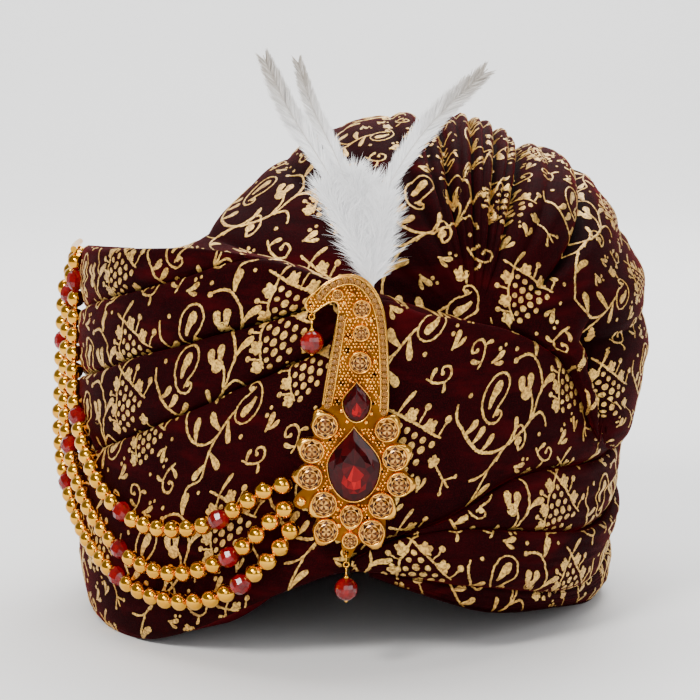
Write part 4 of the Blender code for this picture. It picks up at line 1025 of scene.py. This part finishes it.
def make_crown():
    """The pleated crown, with a hem down to the ring at its left end and along its start, its
    wall, and its print."""
    angles, points, starts, crease_shade = crown_grid()
    points = rest_on_ring(points)
    end_hem = hem(points[-1], read(END_FOOT, np.arange(points.shape[1])), END_STEPS)
    points = np.concatenate([points, end_hem])
    angles = np.concatenate([angles, angles[-1] + 1.5 * np.arange(1, END_STEPS + 1)])
    starts = np.concatenate([starts, np.full(END_STEPS, starts[-1])])
    start_hem = hem(points[:, 0], read(START_FOOT, angles), START_STEPS)
    start_hem = np.swapaxes(start_hem, 0, 1)[:, ::-1]
    starts = starts - np.linalg.norm(start_hem[:, 0] - points[:, 0], axis=-1)
    points = np.concatenate([start_hem, points], axis=1)
    facing = outward_side(points)
    faces = grid_faces(*points.shape[:2])
    if facing > 0:
        faces = faces[:, ::-1]
    piece = fill_mesh("crown_fan_cloth", points.reshape(-1, 3), [faces], VELVET)
    # The crease depth goes on the mesh for the velvet's painted shade.
    mark(piece, "fold", np.pad(crease_shade, ((0, END_STEPS), (START_STEPS, 0))).ravel())
    wall = piece.modifiers.new("cloth wall", "SOLIDIFY")
    wall.thickness = CLOTH_THICKNESS
    wall.offset = -1.0
    carry(piece, "velvet", "crown_fan")
    cloth = Cloth(points, facing, angles, starts)
    reach = cloth.width.max() + 0.01
    print_cloth("crown_fan_print", cloth, ((-reach, reach), (-reach, reach)), (0.040, 0.034))


def drawing(place):
    """A point of the brooch drawing in metres, across and up."""
    return np.array([place[0] * BROOCH_HEIGHT, BROOCH_BOTTOM + place[1] * BROOCH_HEIGHT])


def stand_up(flat, forward):
    """Points drawn across and up, stood in front of the cloth at a distance forward."""
    forward = np.broadcast_to(forward, flat.shape[:-1])
    return np.stack([flat[..., 0], -forward, flat[..., 1]], -1)


def round_outline(count):
    """Unit circle."""
    turn = np.arange(count) * 2 * np.pi / count
    return np.stack([np.cos(turn), np.sin(turn)], -1)


def pear_outline(count):
    """Unit pear, apex up: a circle narrowed towards the top by a power of the height."""
    turn = np.arange(count) * 2 * np.pi / count + np.pi / 2
    across = 0.70 * np.cos(turn) * (1 - np.clip(np.sin(turn), 0, 1) ** 1.6 * 0.92)
    return np.stack([across, np.sin(turn)], -1)


def cut_stone(outline, centre, size, rise, seed, front, glow=None):
    """A cut stone: three rings of three-sided facets from the girdle up, whose points are set half
    a step round from ring to ring, and a table. Each facet gets a painted reflection: bright and
    dark ring by ring, or brightest round a painted highlight a share glow of the size below the
    middle. Returns its points, faces and painted brightness."""
    chance = np.random.default_rng(seed)
    half = (outline + np.roll(outline, -1, axis=0)) / 2
    rings = ((outline, 1.0, 0.0), (half, 0.80, 0.50), (outline, 0.66, 0.80), (half, 0.46, 1.0))
    flat = [stand_up(centre + form * size * scale, front + rise * up) for form, scale, up in rings]
    table = stand_up(centre[None, :], front + rise)
    points = np.concatenate([*flat, table])
    count = len(outline)
    edge = np.arange(count)
    after = (edge + 1) % count
    before = (edge - 1) % count
    faces = []
    for ring, shifted in ((0, True), (1, False), (2, True)):
        near, far = ring * count, (ring + 1) * count
        if shifted:
            faces += [np.stack([near + edge, near + after, far + edge], -1),
                      np.stack([near + after, far + after, far + edge], -1)]
        else:
            faces += [np.stack([near + before, near + edge, far + edge], -1),
                      np.stack([near + edge, far + after, far + edge], -1)]
    faces.append(np.stack([3 * count + edge, 3 * count + after, np.full(count, 4 * count)], -1))
    faces = np.concatenate(faces)
    # Painted reflections: rings of facets light and dark in turn, table facets brighter, or a painted
    # highlight low in a pear.
    if glow is None:
        bright = np.repeat(FACET_RINGS, count) + chance.uniform(-0.12, 0.16, len(faces))
        bright[-count::2] += 0.55
    else:
        middles = points[faces].mean(axis=1)
        apart = np.hypot(middles[:, 0] - centre[0], middles[:, 2] - centre[1] + glow * size) / size
        bright = chance.uniform(0.0, 0.42, len(faces)) + 0.75 * np.exp(-(apart / 0.30) ** 2)
    return points, faces, np.clip(bright, 0, 1)


def tube(path, radius, sides=8, closed=False):
    """A round wire: circles carried along a path, each square to it."""
    path = np.asarray(path, dtype=float)
    if closed:
        along = np.roll(path, -1, axis=0) - np.roll(path, 1, axis=0)
    else:
        along = np.gradient(path, axis=0)
    along /= np.linalg.norm(along, axis=1, keepdims=True)
    guide = (0.0, 1.0, 0.0) if abs(along[:, 1]).mean() < 0.7 else (1.0, 0.0, 0.0)
    aside = np.cross(along, guide)
    aside /= np.linalg.norm(aside, axis=1, keepdims=True)
    third = np.cross(along, aside)
    circle = round_outline(sides)[:, :, None]
    radius = np.broadcast_to(radius, len(path))[:, None, None]
    rings = path[:, None] + radius * (circle[:, 0] * aside[:, None] + circle[:, 1] * third[:, None])
    if closed:
        return rings.reshape(-1, 3), [grid_faces(len(path), sides, True, True)]
    return capped_tube(rings)


def ball(centre, radius, across=16, up=10, stretch=1.0, axis=None):
    """A sphere as circles of latitude between two poles, which may be stretched along an axis."""
    lat = np.linspace(-np.pi / 2, np.pi / 2, up + 1)[1:-1, None]
    circle = round_outline(across)
    turned = np.eye(3)
    if axis is not None:
        third = axis / np.linalg.norm(axis)
        first = np.cross((0.0, 0.0, 1.0) if abs(third[2]) < 0.9 else (1.0, 0.0, 0.0), third)
        first /= np.linalg.norm(first)
        turned = np.stack([first, np.cross(third, first), third])
    rings = np.stack([np.cos(lat) * circle[:, 0], np.cos(lat) * circle[:, 1],
                      np.broadcast_to(np.sin(lat), (len(lat), across)) * stretch], -1)
    poles = np.array([[0, 0, -stretch], [0, 0, stretch]])
    return capped_tube(rings @ turned * radius + centre, poles @ turned * radius + centre)


def gather_parts(parts):
    """Join lists of points and faces into one."""
    points, threes, fours, count = [], [], [], 0
    for part, faces in parts:
        points.append(part)
        for group in faces:
            (threes if group.shape[1] == 3 else fours).append(group + count)
        count += len(part)
    groups = [np.concatenate(group) for group in (threes, fours) if group]
    return np.concatenate(points), groups


def collet(outline, centre, size, depth, front, point_to=None):
    """A setting: its wall rises from the plate, rolls over the stone's edge and drops inside. A
    petal draws out to a point on the side away from the middle."""
    rings = []
    for wall, rise in COLLET:
        form = outline * (size + wall * SETTING_WALL)
        if point_to is not None:
            turn = np.arctan2(outline[:, 1], outline[:, 0]) - point_to
            pointed = np.clip(np.cos(turn), 0, 1) ** 7
            form = form * (1 + 0.32 * max(wall, 0) / COLLET[0][0] * pointed)[:, None]
        rings.append(stand_up(centre + form, front + depth * rise))
    return np.concatenate(rings), [grid_faces(len(COLLET), len(outline), True)]


def inside(outline, spots):
    """Whether flat spots lie inside a closed outline, by how often a level line crosses it."""
    start, end = outline[None], np.roll(outline, -1, axis=0)[None]
    level = spots[:, None, 1]
    crosses = (start[..., 1] > level) != (end[..., 1] > level)
    share = (level - start[..., 1]) / (end[..., 1] - start[..., 1] + 1e-12)
    where = start[..., 0] + share * (end[..., 0] - start[..., 0])
    return ((crosses & (spots[:, None, 0] < where)).sum(axis=1) % 2).astype(bool)


def scatter_grains(front, chance):
    """Grains soldered over the hook and between the petals, on a wavering lattice, none under a
    stone or a row."""
    across, up = np.meshgrid(np.arange(-0.17, 0.19, 0.0125), np.arange(0.05, 1.0, 0.0115))
    across = across + 0.00625 * (np.arange(len(up)) % 2)[:, None]
    spots = np.stack([across, up], -1).reshape(-1, 2) + chance.uniform(-0.0018, 0.0018, (across.size, 2))
    petal_ring = np.array(PETALS)[:-1, :2]
    plate = inside(np.array(HOOK_EDGE), spots) | inside(petal_ring, spots)
    clear = np.ones(len(spots), dtype=bool)
    for x, z, share in PETALS + HOOK_STONES:
        clear &= np.hypot(*(spots - (x, z)).T) > share * PETAL_RADIUS / BROOCH_HEIGHT + 0.006
    for x, z, size in (LARGE_PEAR, SMALL_PEAR):
        clear &= ~inside(pear_outline(24) * (size / BROOCH_HEIGHT + 0.008) + (x, z), spots)
    for row in (OUTER_ROW, INNER_ROW):
        line = spline(row, 0.01)
        clear &= np.hypot(*(spots[:, None] - line[None]).transpose(2, 0, 1)).min(axis=1) > 0.017
    places = spots[plate & clear]
    sizes = chance.uniform(0.00048, 0.00070, len(places))
    return [stud(place, size, front, 7, 4) for place, size in zip(places, sizes)]


def stud(place, radius, forward, across=10, up=6):
    """A ball at a place of the brooch drawing, at a distance forward."""
    return ball(stand_up(drawing(place), forward), radius, across, up)


def round_stones(front):
    """Collets and champagne stones of the petals and the hook; all petals but the small lowest one
    draw out to a point."""
    middle = drawing(ROSETTE_MIDDLE)
    settings, stones = [], []
    for index, (across, up, share) in enumerate(PETALS + HOOK_STONES):
        centre = drawing((across, up))
        size = share * PETAL_RADIUS * 0.90
        away = math.atan2(*(centre - middle)[::-1]) if index < len(PETALS) - 1 else None
        settings.append(collet(round_outline(32), centre, size, 0.0022, front, away))
        stones.append(cut_stone(round_outline(8), centre, size, 0.0013, index, front + 0.0018))
    return settings, stones


def pear_stones(front):
    """Collets and garnet stones of the two pears."""
    settings, stones = [], []
    for place, deep, count, seed in ((LARGE_PEAR, 0.0024, 16, 50), (SMALL_PEAR, 0.0018, 12, 51)):
        centre, size = drawing(place[:2]), place[2] * 0.955
        settings.append(collet(pear_outline(48), centre, size * 0.985, 0.0026, front))
        stones.append(cut_stone(pear_outline(count), centre, size, deep, seed, front + 0.0020, 0.42))
    return settings, stones


def pave_rows(front):
    """The two rows along the hook: small stones, two grains above each, and a wire on each side."""
    settings, stones = [], []
    for row in (OUTER_ROW, INNER_ROW):
        line = spline([drawing(place) for place in row], PAVE_PITCH)
        for seed, centre in enumerate(line, 100):
            stones.append(cut_stone(round_outline(8), centre, 0.00128, 0.0006, seed, front + 0.0017))
            for side in (-0.0012, 0.0012):
                grain = stand_up(centre + (side, 0.0012), front + 0.0019)
                settings.append(ball(grain, 0.00036, 6, 4))
        along = np.gradient(line, axis=0)
        along /= np.linalg.norm(along, axis=1, keepdims=True)
        aside = np.stack([-along[:, 1], along[:, 0]], -1)
        for side in (-0.0015, 0.0015):
            edge = spline(list(line + aside * side), 0.0012)
            settings.append(tube(stand_up(edge, front + 0.0010), 0.00042, 6))
    return settings, stones


def raised_trim(front):
    """Edge wire of the hook, balls and grains on the plate, eyelet rings and the strings' tab."""
    chance = np.random.default_rng(11)
    hook = spline([drawing(place) for place in HOOK_EDGE], 0.0015)
    trim = [tube(stand_up(hook, PLATE_FRONT), 0.00045, 6)]
    trim += [stud(place, chance.uniform(0.0008, 0.0012), front + 0.0004) for place in BALLS]
    trim += scatter_grains(front, chance)
    for eyelet in (HOOK_EYELET, LOWER_EYELET):
        ring = stand_up(drawing(eyelet) + round_outline(20) * 0.00185, PLATE_FRONT - PLATE_THICKNESS / 2)
        trim.append(tube(ring, 0.00055, 8, closed=True))
    return trim + [stud(STRING_TAB, 0.0022, front + 0.0002, 14, 8)]


def make_stones(name, stones, finish, slot, *nodes):
    """Stones as one piece, each facet with the brightness of its painted reflection."""
    points, faces = gather_parts([(part, [face]) for part, face, _ in stones])
    piece = fill_mesh(name, points, faces, finish, smooth=False)
    mark(piece, "facet", np.concatenate([bright for _, _, bright in stones]), "FACE")
    carry(piece, slot, *nodes)


def make_brooch():
    """Settings and trim over the brooch's plate, and its stones."""
    front = PLATE_FRONT + 0.0001
    collets, champagne = round_stones(front)
    pear_collets, pears = pear_stones(front)
    row_settings, row_stones = pave_rows(front)
    points, faces = gather_parts(collets + pear_collets + row_settings + raised_trim(front))
    piece = fill_mesh("brooch_settings", points, faces, BROOCH_GOLD)
    carry(piece, "antique_gold", "row_outer", "row_inner")
    round_nodes = [f"petal_{i:02d}" for i in range(1, len(PETALS) + 1)]
    round_nodes += [f"hook_stone_{i:02d}" for i in range(1, len(HOOK_STONES) + 1)]
    make_stones("champagne_stones", champagne, CHAMPAGNE, "champagne_glass", *round_nodes)
    make_stones("row_stones", row_stones, CHAMPAGNE, "champagne_glass")
    make_stones("garnet_stones", pears, GARNET, "garnet_glass", "stone_large_pear", "stone_small_pear")


def make_drop(name, eyelet):
    """A faceted glass bead under a bent wire eye and a jump ring through the eyelet."""
    across, hole = drawing(eyelet)
    y = -(PLATE_BACK + PLATE_THICKNESS / 2)
    bead, radius = hole - DROP_HANG, DROP_DIAMETER / 2
    top = bead + radius
    points, faces = ball(np.array([across, y, bead]), radius, 14, 9)
    carry(fill_mesh(name + "_bead", points, faces, RED_GLASS, smooth=False), "red_glass", name)
    turn = round_outline(24) * JUMP_RING
    ring = np.stack([np.full(24, across), y + turn[:, 1], hole - JUMP_RING + turn[:, 0]], -1)
    turn = round_outline(20) * WIRE_EYE
    eye = np.stack([across + turn[:, 1], np.full(20, y), hole - 0.0050 + turn[:, 0]], -1)
    low = hole - 0.0050 - WIRE_EYE
    stem = [(across, y, height) for height in (low, (top + low) / 2, top - 0.0006)]
    wires = [tube(ring, WIRE_RADIUS, 7, True), tube(eye, 0.00034, 7, True), tube(stem, WIRE_RADIUS, 7),
             ball(np.array([across, y, top + 0.0002]), 0.0011, 10, 6),
             ball(np.array([across, y, bead - radius]), 0.0008, 10, 6)]
    points, faces = gather_parts(wires)
    carry(fill_mesh(name + "_wires", points, faces, BEAD_GOLD), "red_glass")


def make_strings():
    """Each string: beads at an even pitch on a Catmull-Rom curve round the ring, on a thread. The
    curve runs through wind angles and height shares, which are stretched to a like scale."""
    stretch = 80
    for name, route in STRING_ROUTES.items():
        winds, shares = (spline([(wind, share * stretch) for wind, share in route], 0.3) / (1, stretch)).T
        sway = STRING_SWAY[name] * np.interp(winds, (55, 84), (0, 1)) * read(SWAY_SHARE, shares)
        sway -= STRING_INSET * np.interp(winds, (50, 80), (0, 1))
        lift = WRAP_BULGE + BEAD_DIAMETER / 2 + CLEARANCE + sway
        path = ring_point(winds, shares * WRAP_HEIGHT, 1.0, lift)
        run = np.concatenate([[0], np.cumsum(np.linalg.norm(np.diff(path, axis=0), axis=1))])
        beads = int(run[-1] / BEAD_PITCH)
        centres = (np.arange(beads) + 0.5) * run[-1] / beads
        spots, ahead = [np.stack([np.interp(places, run, axis) for axis in path.T], -1)
                        for places in (centres, centres + 0.001)]
        ways = ahead - spots
        red = RED_BEADS[name]
        gold_parts = [ball(spots[i], BEAD_DIAMETER / 2, 20, 12, 1.0, ways[i])
                      for i in range(beads) if i not in red]
        red_parts = [ball(spots[i], BEAD_DIAMETER / 2 * 1.10, 10, 7, 1.12, ways[i]) for i in red]
        points, faces = gather_parts([*gold_parts, tube(path[::3], BEAD_THREAD / 2, 6)])
        carry(fill_mesh(name + "_gold", points, faces, BEAD_GOLD), "bead_gold", name)
        points, faces = gather_parts(red_parts)
        carry(fill_mesh(name + "_red", points, faces, RED_GLASS, smooth=False), "red_glass")


def barbs(roots, ways, lengths, width, curl, chance, stations=5):
    """Barbs: each is a ribbon that leaves its root along its way, curls aside and thins to its tip."""
    count = len(roots)
    share = np.linspace(0, 1, stations)[None, :, None]
    ways = ways / np.linalg.norm(ways, axis=1, keepdims=True)
    aside = np.cross(ways, chance.normal(size=(count, 3)))
    aside /= np.linalg.norm(aside, axis=1, keepdims=True)
    straight = ways[:, None] * share * lengths[:, None, None]
    curled = aside[:, None] * share ** 2 * (curl * lengths)[:, None, None]
    middle = roots[:, None] + straight + curled
    half = np.cross(ways, aside)[:, None] * (width * (1.02 - share) ** 0.7) / 2
    points = np.stack([middle + half, middle - half], 2).reshape(-1, 3)
    base = (np.arange(count) * stations * 2)[:, None] + np.arange(stations - 1) * 2
    faces = np.stack([base, base + 1, base + 3, base + 2], -1).reshape(-1, 4)
    return points, faces


def down_shaft(path, count, chance):
    """Down all round one short shaft."""
    place = chance.uniform(0.12, 1.0, count)
    spot = path[(place * (len(path) - 1)).astype(int)]
    turn = chance.uniform(0, 2 * np.pi, count)
    way = np.stack([np.cos(turn), np.sin(turn) * 0.45, chance.uniform(0.5, 1.6, count)], -1)
    length = chance.uniform(0.006, 0.0150, count)
    length *= np.interp(place, (0.1, 0.3, 0.8, 1), (0.7, 1.1, 1, 0.7))
    curl = chance.uniform(-0.35, 0.35, count)
    return barbs(spot, way, length, 0.00042, curl, chance)


def long_feather(path, reach, count, chance):
    """Barbs on both sides of a long shaft, and how warm in tone each of their points is."""
    along = np.gradient(path, axis=0)
    along /= np.linalg.norm(along, axis=1, keepdims=True)
    aside = np.stack([along[:, 2], np.zeros(len(along)), -along[:, 0]], -1)
    place = chance.uniform(0.30, 0.97, count)
    index = (place * (len(path) - 1)).astype(int)
    side = chance.choice([-1.0, 1.0], count)[:, None]
    loose = chance.normal(size=(count, 3)) * (0.05, 0.10, 0.05)
    way = along[index] * 1.35 + aside[index] * side * 0.62 + loose
    length = reach * np.interp(place, (0.3, 0.55, 0.8, 1.0), (0.9, 1.35, 1.1, 0.6))
    length *= chance.uniform(0.75, 1.1, count)
    curl = chance.uniform(-0.10, 0.10, count)
    points, faces = barbs(path[index], way, length, 0.00062, curl, chance)
    warm = np.clip((place - 0.55) / 0.35, 0, 1) * chance.uniform(0.5, 1.0, count)
    return points, faces, np.repeat(warm, len(points) // count)


def make_plume():
    """Down on five short shafts and three long feathers, all made of barbs."""
    chance = np.random.default_rng(21)
    base = BROOCH_BOTTOM + 0.955 * BROOCH_HEIGHT
    y = -(PLATE_BACK - CLEARANCE - 0.0012)
    root = np.array([PLUME_ROOT, y, base - 0.004])
    parts, tips = [], []
    for across, high, deep in SHAFTS:
        reach = np.array([across - PLUME_ROOT, deep, high])
        path = spline([root, root + reach * (0.25, 0.5, 0.4), root + reach], 0.0004)
        points, faces = down_shaft(path, 2600, chance)
        shaft = tube(path[::12], 0.0004, 5)
        parts += [(points, [faces]), shaft]
        tips += [np.zeros(len(points)), np.zeros(len(shaft[0]))]
    for *places, reach in FEATHERS:
        line = [np.array([x, y, base + z * PLUME_HEIGHT]) for x, z in ((0.0080, 0.10), *places)]
        path = spline(line, 0.0004)
        points, faces, warm = long_feather(path, reach, 1500, chance)
        shaft = tube(path[::14], np.linspace(0.0005, 0.0002, len(path[::14])), 5)
        parts += [(points, [faces]), shaft]
        tips += [warm, np.arange(len(shaft[0])) / len(shaft[0])]
    points, faces = gather_parts(parts)
    piece = fill_mesh("plume_down", points, faces, DOWN)
    mark(piece, "tip", np.concatenate(tips))
    carry(piece, "down", "plume")


def dress_node(node, finish):
    """Give a solid that stays its finish."""
    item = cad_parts[node]
    item.data.materials.clear()
    item.data.materials.append(finish)


def area_light(name, place, target, size, power, colour=(1.0, 1.0, 1.0)):
    """A soft square light that faces a target."""
    data = bpy.data.lights.new(name, "AREA")
    data.size = size
    data.energy = power
    data.color = colour
    set_up(name, data, place, target)


def set_up(name, data, place, target):
    """A light or camera at a place, facing a target."""
    item = bpy.data.objects.new(name, data)
    item.location = place
    item.rotation_euler = (target - item.location).to_track_quat("-Z", "Y").to_euler()
    bpy.context.scene.collection.objects.link(item)
    return item


def make_floor():
    """Pale floor that curves up behind the turban to a wall."""
    reach, start, bend, high = 30.0, 1.7, 1.3, 6.0
    turn = np.linspace(0, np.pi / 2, 25)
    away = np.concatenate([[-reach], start + bend * np.sin(turn), [start + bend]])
    up = np.concatenate([[0.0], bend * (1 - np.cos(turn)), [high]])
    points = np.stack([np.stack([np.full(len(up), side), away, up], -1) for side in (-reach, reach)])
    paint = Finish("pale floor", Roughness=0.7, Specular_IOR_Level=0.1)
    tone = paint.noise(3.0)
    paint.use("Base Color", paint.blend(tone, (0.84, 0.84, 0.84, 1.0), (0.88, 0.88, 0.88, 1.0)))
    faces = grid_faces(2, len(up))[:, ::-1]
    ground = fill_mesh("studio_floor", points.reshape(-1, 3) - BASE, [faces], paint.material)


def make_studio():
    """Floor, soft lights and the camera."""
    make_floor()
    scene = bpy.context.scene
    if scene.world is None:
        scene.world = bpy.data.worlds.new("studio")
    scene.world.use_nodes = True
    sky = scene.world.node_tree.nodes["Background"]
    sky.inputs["Color"].default_value = (1.0, 1.0, 1.0, 1.0)
    sky.inputs["Strength"].default_value = 0.28
    aim = Vector((BASE[0], BASE[1], AIM_HEIGHT))
    area_light("key_light", (-0.75, -1.25, 1.25), aim, 0.45, 30.0, (1.0, 0.97, 0.93))
    area_light("fill_light", (1.25, -0.95, 0.70), aim, 0.8, 9.0)
    area_light("back_light", (0.35, 1.25, 1.20), aim, 0.6, 12.0)
    area_light("front_light", (-0.15, -1.70, 0.75), aim, 0.9, 9.0)
    area_light("backdrop_light", (0.0, 1.0, 2.6), Vector((0.0, 2.6, 0.6)), 2.4, 150.0)
    lens = bpy.data.cameras.new("camera")
    lens.lens = CAMERA_LENS
    lens.sensor_width = 36.0
    rise = math.radians(CAMERA_RISE)
    place = aim + CAMERA_DISTANCE * Vector((0.0, -math.cos(rise), math.sin(rise)))
    scene.camera = set_up("camera", lens, place, aim)


VELVET = velvet_finish()
LINING = lining_finish()
FOIL = foil_finish()
BROOCH_GOLD = gold_finish("antique gold", (0.66, 0.28, 0.028, 1.0), (1.0, 0.56, 0.10, 1.0),
                          0.14, 0.00005)
# Painted shade: the plate's ground between grains and stones is dark gold, for the shade in those
# recesses.
PLATE_SHADE_GOLD = gold_finish("gold ground with painted shade", (0.08, 0.022, 0.002, 1.0), (0.26, 0.095, 0.009, 1.0),
                         0.28, 0.0001)
BEAD_GOLD = gold_finish("polished gold", (0.68, 0.30, 0.014, 1.0), (0.90, 0.46, 0.035, 1.0),
                        0.07, 0.00003)
# Each stone's colours run dark, middle, bright with its facets' painted reflections.
CHAMPAGNE = gem_finish("champagne glass", (0.014, 0.003, 0.0004, 1.0), (0.17, 0.048, 0.005, 1.0),
                       (0.84, 0.42, 0.09, 1.0))
GARNET = gem_finish("garnet glass", (0.010, 0.0, 0.0003, 1.0), (0.055, 0.0003, 0.001, 1.0),
                    (0.42, 0.0015, 0.004, 1.0))
RED_GLASS = glass_bead_finish()
DOWN = down_finish()
PRINT = print_repeat()

make_studio()
make_bands()
make_crown()
make_brooch()
make_drop("drop_upper", HOOK_EYELET)
make_drop("drop_lower", LOWER_EYELET)
make_strings()
make_plume()
for kept, finish in (("brooch_frame", PLATE_SHADE_GOLD), ("brooch_pin", BROOCH_GOLD),
                     ("string_pin", BEAD_GOLD)):
    dress_node(kept, finish)

bpy.context.view_layer.update()
